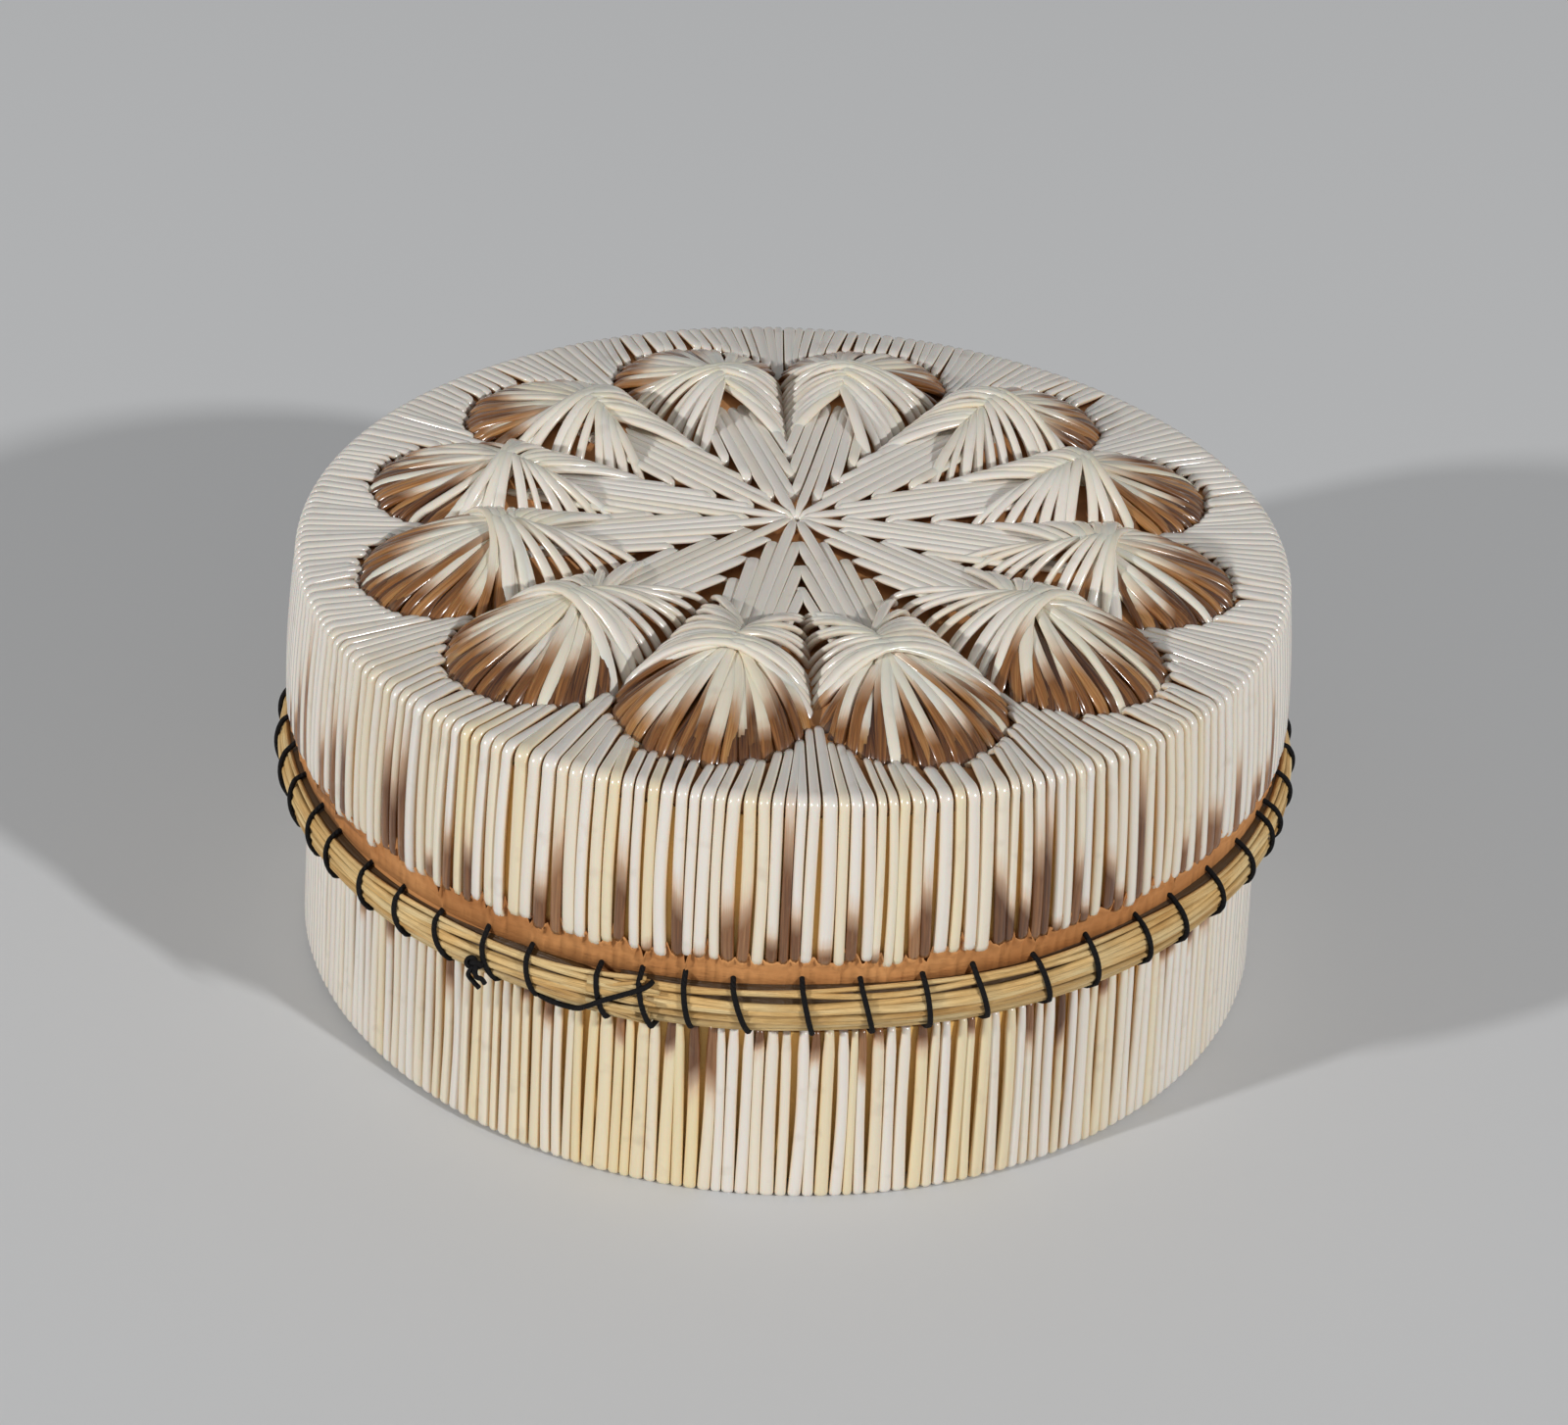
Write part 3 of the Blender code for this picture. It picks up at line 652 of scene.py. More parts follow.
def wall_quill(draw, profile, angle, room, climb, loose, radius, cover_shares, lean=0, lift=0):
    """Path, normals and half widths of a wall's quill, which sways and slants a little."""
    sway = SWAY * draw.standard_normal() * np.sin(pi * climb)
    slant = LEAN_SPREAD * draw.standard_normal() * loose
    turns = angle + lean + (sway + slant) / radius
    cover = quill_cover(draw, angle) * cover_shares
    path = polar(profile[:, 0], turns, profile[:, 1] + lift)
    return path, profile_normals(profile, turns), room / 2 * cover * profile[:, 0]


def lid_quill_profile(low, inner):
    """Radii and heights from the lower end, over the edge, in to the petals."""
    face = QUILL_DEPTH / 2 + QUILL_BED
    wall = wall_radius(low) + face
    climb = np.linspace(low + PLUNGE, LID_TOP_Z - 2 * BEND_RADIUS, 11)
    upright = np.stack([wall_radius(climb) + face, climb], axis=-1)
    flat = LID_TOP_Z - QUILL_DEPTH / 2
    head = (inner + PLUNGE, flat)
    bend = corner_arc(upright[-1], (wall_radius(TOP_BARK_HIGH.z) + face, flat), head, BEND_RADIUS, 7)
    return np.concatenate([
        [(wall - PLUNGE * deep, low + PLUNGE * along) for along, deep in LOW_HOOK_SHARES],
        upright, bend, spaced(bend[-1], head, 3), [head],
        [(inner + PLUNGE * along, flat - PLUNGE * deep) for along, deep in HOOK_SHARES]])


def make_lid_quills(material):
    """Quills from holes above the rim, up the wall, over the edge and in to the petals."""
    draw = np.random.RandomState(LID_SEED)
    strands = Strands(QUILL_SIDES, QUILL_SQUARENESS_SHARE)
    angles, rooms = quill_places(draw)
    yellows = rolling_tone(draw, QUILLS_AROUND, YELLOW_RUN)
    ends = []
    for angle, room, yellow in zip(angles, rooms, yellows):
        low = LID_QUILL_LOW.z + LOWER_EDGE_TILT * cos(angle - LOWER_EDGE_TURN)
        low += LOWER_EDGE_JITTER * draw.standard_normal()
        ends.append((angle, room, low))
        lean = -NOTCH_LEAN * sin(angle / SECTOR * pi) + NOTCH_LEAN_JITTER * draw.standard_normal()
        from_notch = (angle + SECTOR) % (2 * SECTOR) - SECTOR
        inner = scallop_reach(angle + lean) + EDGE_CLEARANCE
        inner -= NOTCH_REACH * exp(-(from_notch / NOTCH_WIDTH) ** 2) * draw.uniform(*NOTCH_REACH_SHARES)
        inner += BORDER_END_JITTER * draw.standard_normal()
        profile = lid_quill_profile(low, inner)
        count = len(profile)
        over = profile[:, 1] > profile[:, 1].max() - QUILL_DEPTH
        bend_radius = profile[over, 0].max()
        inward = np.clip((bend_radius - profile[:, 0]) / (bend_radius - inner), 0, 1) * over
        climb = np.clip((profile[:, 1] - low) / (LID_TOP_Z - low), 0, 1)
        path, up, half_width = wall_quill(draw, profile, angle, room, climb, 1 - climb, LID_LOW_RADIUS,
                                          1 - (1 - BORDER_END_COVER_SHARE) * inward, lean * inward)
        brown = brown_tip(run_length(profile),
                          brown_length(draw, BROWN_LID_SHARE * front_brown(angle), BROWN_LID_LENGTH))
        pale = 1 - BORDER_PALE_SHARE * inward
        strands.add(path, up, half_width * end_taper(count, (3, 3)),
                    QUILL_DEPTH / 2 * end_taper(count, (2, 3)), brown=brown, tone=draw.uniform(-1, 1),
                    yellow=quill_yellow(draw, YELLOW_LID_SHIFT * yellow) * front_yellow(angle) * pale)
    finish_piece(strands.piece("lid_edge_quills", material), "lid", "quills", "lid_border_quills")
    return ends


def base_quill_profile(top):
    """Radii and heights from the end under the floor, up the wall and in over its edge."""
    half = QUILL_DEPTH / 2
    wall = BASE_BARK_HIGH.x + half + QUILL_BED
    start = (FOOT_END + PLUNGE, half)
    foot = (BASE_QUILL_HIGH.x - half, half)
    shoulder = (wall, top - half)
    inside = (wall - TURN_IN, top - half)
    low_bend = corner_arc(start, foot, shoulder, FOOT_BEND_RADIUS)
    high_bend = corner_arc(foot, shoulder, inside, half)
    return np.concatenate([
        [(FOOT_END + PLUNGE * along, half + PLUNGE * deep) for along, deep in HOOK_SHARES[::-1]], [start],
        spaced(start, low_bend[0], 2), low_bend, spaced(low_bend[-1], high_bend[0], 8), high_bend,
        [(inside[0], top - half - PLUNGE / 8), (inside[0] - PLUNGE / 6, top - half - PLUNGE)]])


def base_cover(climb):
    """The base's quills touch at the foot and narrow where they turn in at the top."""
    closing = FOOT_CLOSING_SHARE * smooth(0, FOOT_CLOSING_REACH_SHARE, climb)
    return FOOT_COVER_SHARE - closing - (1 - THROAT_SHARE) * smooth(THROAT_START_SHARE, 1, climb)


def make_base_quills(material):
    """Quills from under the floor, round the foot, up the wall and in over its edge."""
    draw = np.random.RandomState(BASE_SEED)
    strands = Strands(QUILL_SIDES, QUILL_SQUARENESS_SHARE)
    angles, rooms = quill_places(draw)
    angles = wrapped(angles)
    yellows = rolling_tone(draw, QUILLS_AROUND, YELLOW_RUN)
    dark_pair = np.argsort(np.abs(angles - DARK_PAIR_ANGLE))[:2]
    profile = base_quill_profile(BASE_QUILL_HIGH.z)
    count = len(profile)
    lengths = run_length(profile)
    climb = np.clip(profile[:, 1] / BASE_QUILL_HIGH.z, 0, 1)
    near_foot = 1 - smooth(*FOOT_LIFT_FADE, profile[:, 1])
    for number, (angle, room, yellow) in enumerate(zip(angles, rooms, yellows)):
        lift = FOOT_LIFT * bell(angle, FOOT_LIFT_ANGLE, FOOT_LIFT_WIDTH) * near_foot
        path, up, half_width = wall_quill(draw, profile, angle, room, climb, climb, BASE_QUILL_HIGH.x,
                                          base_cover(climb), lift=lift)
        length = brown_length(draw, BROWN_BASE_SHARE, BROWN_BASE_LENGTH)
        if number in dark_pair:
            length = DARK_PAIR_LENGTH
        brown = brown_tip(lengths[-1] - lengths - BROWN_BASE_START, length)
        shift = YELLOW_BASE_SHIFT * yellow
        shift += YELLOW_CLUSTER_SHIFT * bell(angle, YELLOW_CLUSTER_ANGLE, YELLOW_CLUSTER_WIDTH)
        strands.add(path, up, half_width * end_taper(count, (3, 2)),
                    QUILL_DEPTH / 2 * end_taper(count, (3, 1)), brown=brown, tone=draw.uniform(-1, 1),
                    yellow=quill_yellow(draw, shift) * front_yellow(angle))
    finish_piece(strands.piece("base_quills", material), "base", "quills", "base_wall_quills")


def make_bark_lip(ends, material):
    """The bark's torn upper edge, which the lid's quills pass behind into their holes."""
    draw = np.random.RandomState(LIP_SEED)
    columns = []
    slits = np.array(stitch_places())
    for angle, room, low in ends:
        peak = LIP_PEAK * draw.uniform(*LIP_PEAK_SHARES)
        for share in LIP_COLUMN_SHARES:
            place = angle + share * room
            height = low + LIP_COVER + peak * abs(2 * share) ** LIP_PEAK_POWER
            height += LIP_ROUGHNESS * draw.standard_normal()
            slit = bell(place, slits, SLIT_HALF_ANGLE).max()
            height -= SLIT_DEPTH * slit * draw.uniform(*SLIT_DEPTH_SHARES)
            columns.append((place, height, LIP_BULGE * (1 - LIP_HOLLOW_SHARE * abs(2 * share))))
    angles, tops, bulges = np.array(columns).T
    foot = RIM_HIGH.z - LIP_FOOT_COVER
    face = LID_LOW_RADIUS + LIP_GAP
    rows = [polar(face, angles, foot)]
    rows += [polar(face + step + bulges * share, angles, tops - drop) for step, share, drop in LIP_PROFILE]
    rows.append(polar(face + LIP_BACK, angles, foot))
    numbers = vertex_grid(len(rows), len(angles), close_rows=True)
    faces = [(a, d, c, b) for a, b, c, d in grid_faces(numbers)]
    finish_piece(add_mesh("lid_bark_lip", np.concatenate(rows), faces, material), "lid", "bark")


class Petal:
    """One petal's place, and its quills' feet, ridge and heights, u outwards and v across."""

    def __init__(self, number):
        self.angle = (2 * number + 1) * SECTOR
        self.apex = APEX_REACHES_MM[number] * MILLIMETRE
        self.drift = self.apex * sin(radians(APEX_DRIFTS_DEG[number]))
        self.height = APEX_Z - LID_TOP_Z
        self.bed = LID_TOP_Z - QUILL_DEPTH
        self.foot_z = self.bed + PETAL_QUILL_DEPTH / 2
        self.top_z = LID_TOP_Z - PETAL_QUILL_DEPTH / 2

    def room(self, along):
        """Half the petal's width at a distance from the star's centre."""
        return along * tan(SECTOR)

    def edge(self, along):
        """How far from the middle line the feet on the flank stand."""
        return self.room(along) - FLANK_GAP

    def outline(self, arc):
        """A point on the petal's outline, at a length along it from the outermost point."""
        side = copysign(1, arc)
        low, high = 0.0, pi / 2
        for _ in range(20):
            middle = (low + high) / 2
            along = FAN_CENTRE + FAN_RADIUS * cos(middle)
            inside = FAN_RADIUS * sin(middle) < self.edge(along)
            low, high = (middle, high) if inside else (low, middle)
        rest = abs(arc) - FAN_RADIUS * low
        turn = abs(arc) / FAN_RADIUS if rest < 0 else low
        along = FAN_CENTRE + FAN_RADIUS * cos(turn)
        if rest < 0:
            return np.array([along, side * FAN_RADIUS * sin(turn)])
        along -= rest * cos(SECTOR)
        return np.array([along, side * self.edge(along)])

    def ridge(self, along):
        """The height above the lid's top at which the quills cross over the middle line."""
        return RIDGE_FOOT + (self.height - RIDGE_FOOT) * smooth(RIDGE_FROM, self.apex, along)

    def ridge_point(self, along):
        return np.array([along, self.drift * along / self.apex])

    def world(self, points, heights):
        """Points of the petal's plane, with their heights, in the box's frame."""
        radius = np.hypot(points[:, 0], points[:, 1])
        angle = np.arctan2(points[:, 1], points[:, 0]) + self.angle
        return polar(radius, angle, heights)

    def surface_up(self, path):
        """Normals of the dome along a path: away from a point deep under the apex."""
        apex = self.world(self.ridge_point(self.apex)[None], self.bed)[0]
        return unit(path - (apex - np.array([0, 0, self.height * DOME_CENTRE_SHARE])))


def end_spaced(count):
    """Shares from 0 to 1 that crowd towards both ends, where a quill rounds off."""
    shares = np.linspace(0, 1, count)
    return shares - CROWDING_SHARE * np.sin(TURN * shares)


def curve_through(start, middle, end, count):
    """A parabola through three points of a plane, with shares along it and the middle's share."""
    first = np.linalg.norm(middle - start)
    turn = first / (first + np.linalg.norm(end - middle))
    shares = end_spaced(count)
    basis = np.stack([(1 - shares) * (turn - shares) / turn,
                      shares * (1 - shares) / (turn * (1 - turn)),
                      shares * (shares - turn) / (1 - turn)])
    return basis.T @ np.array([start, middle, end]), shares, turn


def add_shaft_quills(strands, petal, draw):
    """Side by side from the star's centre up the dome, each cut off at the petal's edge."""
    half = PETAL_QUILL_DEPTH / 2
    middle = SHAFT_QUILLS // 2
    for number in range(SHAFT_QUILLS):
        across = (number - middle) * SHAFT_PITCH
        inner = (abs(across) + SHAFT_HALF_WIDTH * SHAFT_INSET_SHARE) / tan(SECTOR)
        inner += SHAFT_END_JITTER * draw.uniform(-1, 1)
        if number == middle:
            inner = SHAFT_TIP + SHAFT_TIP_JITTER * draw.uniform(0, 1)
        top = petal.apex - (petal.apex - SHAFT_TOP) * (1 + SHAFT_TOP_SPREAD_SHARE * draw.uniform(-1, 1))
        starts = [inner + step for step in SHAFT_END_STEPS]
        along = np.concatenate([starts[:-1], np.linspace(starts[-1], top, SHAFT_RINGS)])
        skew = SHAFT_SKEW_SHARE * tan(SHAFT_SKEW * draw.uniform(-1, 1))
        spread = across * (1 - SHAFT_NARROWING_SHARE * (along - inner) / (SHAFT_TOP - inner))
        points = np.stack([along, spread + (along - inner) * skew], axis=-1)
        points[:, 1] += petal.drift * smooth(0, petal.apex, along)
        start_height = CROWN_HEIGHT + STACK_JITTER * draw.uniform(-1, 1)
        heights = petal.top_z + start_height + (SHAFT_CREST - start_height) * (along - inner) / (top - inner)
        heights[:2] -= (PLUNGE, PLUNGE / 3)
        path = petal.world(points, heights)
        up = np.tile([0, 0, 1.0], (len(path), 1))
        width = about(draw, SHAFT_HALF_WIDTH, SHAFT_WIDTH_SPREAD_SHARE)
        widths = width * (SHAFT_POINT_SHARE + (1 - SHAFT_POINT_SHARE) * smooth(*SHAFT_POINT_REACH, along))
        strands.add(path, up, widths * end_taper(len(path), (3, 0), POINTED_END_SHARE),
                    half * end_taper(len(path), (2, 0)), tone=draw.uniform(-1, 1),
                    yellow=quill_yellow(draw, SHAFT_YELLOW_SHIFT) / 2)


def add_fan_quills(strands, petal, draw):
    """Quills from under the crossing at the apex out to the fan's edge, over a brown layer deepened as
    painted shade.
    """
    shares = end_spaced(FAN_RINGS)
    taper = end_taper(FAN_RINGS, (0, 4), POINTED_END_SHARE)
    depth = PETAL_QUILL_DEPTH / 2 * (FAN_DEPTH_SHARES[0] + FAN_DEPTH_SHARES[1] * shares) * taper
    start_share = FAN_START_WIDTH_SHARE + (1 - FAN_START_WIDTH_SHARE) * smooth(0, 0.5, shares)
    for layer in range(2):
        count = FAN_QUILLS - layer
        ranks = draw.permutation(count) / (count - 1)
        for number in range(count):
            arc = FAN_SPREAD * (2 * (number + 0.5) / count - 1) + FAN_JITTER * draw.standard_normal()
            foot = petal.outline(arc)
            foot[0] += about(draw, FAN_OVERHANG, FAN_OVERHANG_SPREAD_SHARE)
            start = petal.ridge_point(petal.apex - FAN_TUCK)
            start += FAN_START_SPREAD * np.array([draw.standard_normal(), arc / FAN_SPREAD])
            sideways = unit(np.array([start[1] - foot[1], foot[0] - start[0]]))
            bow = FAN_BOW * draw.standard_normal() + 2 * FAN_BOW * sin(arc / FAN_RADIUS) * layer
            points = start + (foot - start) * shares[:, None] + sideways * bow * np.sin(pi * shares)[:, None]
            crest_z = petal.top_z + petal.height - FAN_DROP - LOWER_FAN_DROP * (1 - layer)
            heights = petal.foot_z + (crest_z - petal.foot_z) * (1 - shares ** DOME_POWER)
            heights += FAN_PILE * ranks[number] * layer * (1 - shares)
            heights -= FAN_PLUNGE * shares ** FAN_PLUNGE_POWER
            path = petal.world(points, heights)
            width = FAN_HALF_WIDTH * (FAN_WIDTH_SHARE + FAN_WIDTH_SPREAD_SHARE * draw.standard_normal())
            length = max(about(draw, BROWN_FAN_LENGTH, BROWN_FAN_SPREAD_SHARE), BROWN_FAN_LENGTH / 2)
            if layer and draw.uniform() < WHITE_FAN_SHARE:
                length = BROWN_FAN_LENGTH / 10
            tone = draw.uniform(-1, 1)
            # The lower layer: brown all along and at its darkest, partly painted shade in the gaps between
            # the upper quills
            if not layer:
                length = 2 * BROWN_FAN_LENGTH
                tone = LOWER_FAN_SHADE_TONE
            distance = run_length(path)[-1] - run_length(path)
            strands.add(path, petal.surface_up(path), width * start_share * taper, depth,
                        brown=brown_tip(distance, length), tone=tone, dark=1 - smooth(0, FAN_END, distance),
                        yellow=FAN_YELLOW[0] + FAN_YELLOW[1] * draw.uniform(-1, 1))


def crossing_heights(petal, shares, turn, crest_z, foot, far, through):
    """Heights along a crossing quill: up its flank to the crest, and down beyond or hidden there."""
    near_z, far_z = (petal.foot_z + crown(end[0]) for end in (foot, far))
    near = near_z + (crest_z - near_z) * (1 - np.clip((turn - shares) / turn, 0, 1) ** FLANK_POWER)
    beyond = np.clip((shares - turn) / (1 - turn), 0, 1)
    down = crest_z - HIDDEN_DROP * beyond
    if through:
        down = far_z + (crest_z - far_z) * (1 - beyond ** DOME_POWER)
    heights = np.where(shares < turn, near, down)
    heights -= CROSSING_PLUNGE * (1 - shares) ** CROSSING_PLUNGE_POWER
    return heights - CROSSING_PLUNGE * shares ** CROSSING_PLUNGE_POWER * through


def add_crossing_quills(strands, petal, draw):
    """Quills over the ridge from each side in turn, each laid over the one before."""
    wider, waist, flare = CROSSING_WIDTH_SHARES
    half = PETAL_QUILL_DEPTH / 2
    for number in range(CROSSING_QUILLS):
        share = number / (CROSSING_QUILLS - 1)
        side = 1 if number % 2 else -1
        arc = FLANK_START_ARC + (FLANK_END_ARC - FLANK_START_ARC) * share
        foot = petal.outline(side * (arc + CROSSING_JITTER * draw.standard_normal()))
        crest_along = CREST_START + (petal.apex + CREST_PAST_APEX - CREST_START) * share ** CREST_POWER
        crest_along += CROSSING_JITTER * draw.uniform(-1, 1)
        crest = petal.ridge_point(crest_along)
        rank = (number - (CROSSING_QUILLS - CROSSING_THROUGH)) / (CROSSING_THROUGH - 1)
        through = rank >= 0
        if through:
            far = FAR_START_ARC + (FAR_END_ARC - FAR_START_ARC) * rank + FAR_JITTER * draw.standard_normal()
            far = petal.outline(-side * far)
        else:
            far = crest + (crest - foot) * np.array(HIDDEN_RUN_SHARES)
        points, shares, turn = curve_through(foot, crest, far, CROSSING_RINGS)
        crest_z = petal.top_z + petal.ridge(min(crest_along, petal.apex))
        path = petal.world(points, crossing_heights(petal, shares, turn, crest_z, foot, far, through))
        width = 1 + CROSSING_WIDTH_SPREAD_SHARE * draw.standard_normal() + wider * through
        widths = CROSSING_HALF_WIDTH * width * (
            1 - waist * smooth(0, turn, shares) + flare * smooth(turn, 1, shares) * through)
        lengths = run_length(path)
        length = about(draw, CROSSING_BROWN_LENGTH, BROWN_SPREAD_SHARE) * through
        if draw.uniform() < WHITE_CROSSING_SHARE:
            length = 0.0
        crest_share = np.exp(-((shares - turn) / CREST_YELLOW_WIDTH_SHARE) ** 2)
        strands.add(path, petal.surface_up(path),
                    widths * end_taper(CROSSING_RINGS, (3, 3), CROSSING_END_SHARE),
                    half * CROSSING_DEPTH_SHARE * end_taper(CROSSING_RINGS, (3, 3), POINTED_END_SHARE),
                    brown=brown_tip(lengths[-1] - lengths, length), tone=draw.uniform(-1, 1),
                    yellow=quill_yellow(draw, 0) / 2 + CREST_YELLOW * crest_share)


def make_petals(material):
    for number in range(PETALS):
        draw = np.random.RandomState(PETAL_SEED + number)
        petal = Petal(number)
        strands = Strands(QUILL_SIDES, QUILL_SQUARENESS_SHARE)
        add_shaft_quills(strands, petal, draw)
        add_fan_quills(strands, petal, draw)
        add_crossing_quills(strands, petal, draw)
        piece = strands.piece(f"petal_{number + 1:02d}", material)
        finish_piece(piece, "lid", "petal_quills", f"petal_quills_{number + 1:02d}")


def add_round(name, rings, top_z, bottom_z, material):
    """A round sheet from rings of points: out from its top's middle, over its edge, and in below."""
    rows, spokes = rings.shape[:2]
    numbers = vertex_grid(rows, spokes)
    centre = rows * spokes
    faces = grid_faces(numbers)
    faces += [(centre, *pair) for pair in zip(numbers[0, :-1].tolist(), numbers[0, 1:].tolist())]
    points = rings.reshape(-1, 3).tolist() + [(0, 0, top_z)]
    if bottom_z is None:
        faces.append(numbers[-1, :-1][::-1].tolist())
    else:
        faces += [(centre + 1, *pair) for pair in zip(numbers[-1, 1:].tolist(), numbers[-1, :-1].tolist())]
        points.append((0, 0, bottom_z))
    return add_mesh(name, points, faces, material, sharp=True)


def make_top_bark(material):
    """The lid's bark top, swollen under each dome, which shows between the quills."""
    radii = np.linspace(0, TOP_BARK_RADIUS, TOP_RINGS + 1)[1:]
    angles = TURN * np.arange(TOP_SPOKES) / TOP_SPOKES
    heights = np.zeros((TOP_RINGS, TOP_SPOKES))
    for number in range(PETALS):
        petal = Petal(number)
        turn = angles - petal.angle
        along = radii[:, None] * np.cos(turn)[None]
        across = radii[:, None] * np.sin(turn)[None]
        share_in = np.clip((petal.apex - along) / (petal.apex - SWELL_START), 0, 1)
        share_out = np.clip((along - petal.apex) / (FAN_CENTRE + FAN_RADIUS - petal.apex), 0, 1)
        reach_along = np.where(along < petal.apex, share_in, share_out)
        half_room = np.minimum(petal.room(np.clip(along, MILLIMETRE, 1)), FAN_RADIUS)
        reach_across = np.abs(across - petal.drift * along / petal.apex) / half_room
        reach = np.clip(np.hypot(reach_along, reach_across), 0, 1)
        bump = petal.height * SWELL_SHARE * (1 - reach ** DOME_POWER)
        heights = np.maximum(heights, np.where(np.cos(turn)[None] > 0, bump, 0))
    heights += TOP_BARK_HIGH.z + crown(radii)[:, None]
    rings = np.concatenate([polar(radii[:, None], angles[None], heights),
                            polar(TOP_BARK_RADIUS, angles, TOP_BARK_LOW.z)[None]])
    piece = add_round("lid_top_sheet", rings, TOP_BARK_HIGH.z + CROWN_HEIGHT, None, material)
    finish_piece(piece, "lid", "bark", "lid_top_bark")


def make_disc(name, material, body, slot, node):
    """A round of bark with a slightly uneven face, in the place of a node."""
    low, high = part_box(node)
    angles = TURN * np.arange(DISC_SPOKES) / DISC_SPOKES
    radii = np.linspace(0, high.x, DISC_RINGS + 1)[1:]
    wave = (DISC_WAVE * np.sin(DISC_WAVES_AROUND * angles)[None]
            * np.sin(radii / high.x * DISC_WAVES_OUT)[:, None])
    top_z, bottom_z = high.z - DISC_INSET, low.z + DISC_INSET
    upper = polar(radii[:, None], angles[None], top_z + wave)
    lower = polar(radii[:, None], angles[None], bottom_z + wave)
    piece = add_round(name, np.concatenate([upper, lower[::-1]]), top_z, bottom_z, material)
    finish_piece(piece, body, slot, node)


def bark_wall(name, radii, heights, thickness, lap, material):
    """A sheet bent round until its ends lap, from its outer face's radii and heights."""
    lap_start, lap_width = lap
    angles = lap_start + np.linspace(0, TURN + lap_width, WALL_COLUMNS + 1)
    run = angles - lap_start
    tuck = smooth(TURN - lap_width, TURN, run) * thickness
    skive = np.minimum(smooth(0, lap_width / 2, run), 1 - smooth(TURN + lap_width / 2, TURN + lap_width, run))
    depth = thickness * (SKIVE_SHARE + (1 - SKIVE_SHARE) * skive)
    wave = sum(size * np.sin(count * angles + shift) for size, count, shift in WALL_WAVES)
    outline = list(zip(np.broadcast_to(radii, len(heights)), heights))
    rings = [polar(radius - tuck, angles, height + wave) for radius, height in outline]
    rings += [polar(radius - tuck - depth, angles, height + wave) for radius, height in outline[::-1]]
    numbers = vertex_grid(len(rings), len(angles), close_rows=True, close_columns=False)
    faces = grid_faces(numbers) + [numbers[:-1, 0].tolist(), numbers[:-1, -1][::-1].tolist()]
    return add_mesh(name, np.concatenate(rings), faces, material, sharp=True)


def leaning_heights(low, high, below, above):
    """Heights up the lid's wall, with a row where it starts to lean in."""
    upper = np.linspace(LID_QUILL_LOW.z, high, above)
    return np.concatenate([np.linspace(low, LID_QUILL_LOW.z, below), upper[1:]])


def make_walls(lid_bark, base_bark, lining):
    """The lid's and the base's walls, the collar and the lid's lining, and where each one laps."""
    lid_heights = leaning_heights(LID_BARK_LOW.z, LID_BARK_HIGH.z, 5, 6)
    lining_heights = leaning_heights(WALL_LINING_LOW.z, WALL_LINING_HIGH.z, 2, 5)
    base_heights = np.linspace(BASE_BARK_LOW.z, BASE_BARK_HIGH.z - QUILL_DEPTH, 5)
    collar_heights = np.linspace(COLLAR_LOW.z, COLLAR_HIGH.z, 6)
    inset = LID_LOW_RADIUS - WALL_LINING_HIGH.x
    wall = bark_wall("lid_wall_sheet", wall_radius(lid_heights), lid_heights, BARK_THICKNESS,
                     LID_WALL_LAP, lid_bark)
    finish_piece(wall, "lid", "bark", "lid_wall_bark")
    wall = bark_wall("base_wall_sheet", BASE_BARK_HIGH.x, base_heights, BARK_THICKNESS,
                     BASE_WALL_LAP, base_bark)
    finish_piece(wall, "base", "bark", "base_wall_bark")
    wall = bark_wall("collar_sheet", COLLAR_HIGH.x, collar_heights, COLLAR_THICKNESS,
                     COLLAR_LAP, lining)
    finish_piece(wall, "base", "bark", "base_collar_bark")
    wall = bark_wall("lid_lining_sheet", wall_radius(lining_heights) - inset, lining_heights,
                     LINING_THICKNESS, LINING_LAP, lining)
    finish_piece(wall, "lid", "lining", "lid_wall_lining")


def rim_middle(angle):
    """The bundle's middle height: it dips at the front left, by the knot."""
    middle = (RIM_LOW.z + RIM_HIGH.z) / 2 + RIM_TILT * np.cos(angle - RIM_TILT_TURN)
    return middle - RIM_DIP * bell(angle, RIM_DIP_ANGLE, RIM_DIP_WIDTH)


def rim_half(angle):
    """Half the bundle's height: it is thinnest at the front left."""
    half = (RIM_HIGH.z - RIM_LOW.z) / 2 * RIM_SWELL_SHARE
    return half * (1 - RIM_THIN_SHARE * bell(angle, RIM_DIP_ANGLE, RIM_DIP_WIDTH))


def rim_face(rank):
    """The radius of the bundle's outer face at a height from -1 to 1 of its half height."""
    depth = RIM_HIGH.x - LID_LOW_RADIUS
    return LID_LOW_RADIUS + depth * np.sqrt(np.clip(1 - (RIM_ROUND_SHARE * rank) ** 2, 0, 1))


def rim_up(ranks, angles):
    return unit(polar(np.cos(RIM_FACING * ranks), angles, np.sin(RIM_FACING * ranks)))


def lap_lift(angle, rank):
    """How far the bundle's lapped end stands out over its start."""
    turn = wrapped(angle - LAP_ANGLE)
    loose = smooth(-LAP_LOOSE_ANGLE, 0, turn) * (turn < LAP_WIDTH * LAP_DROP_SHARE)
    return LAP_LIFT * loose * (1 - LAP_LEAN_SHARE * rank)


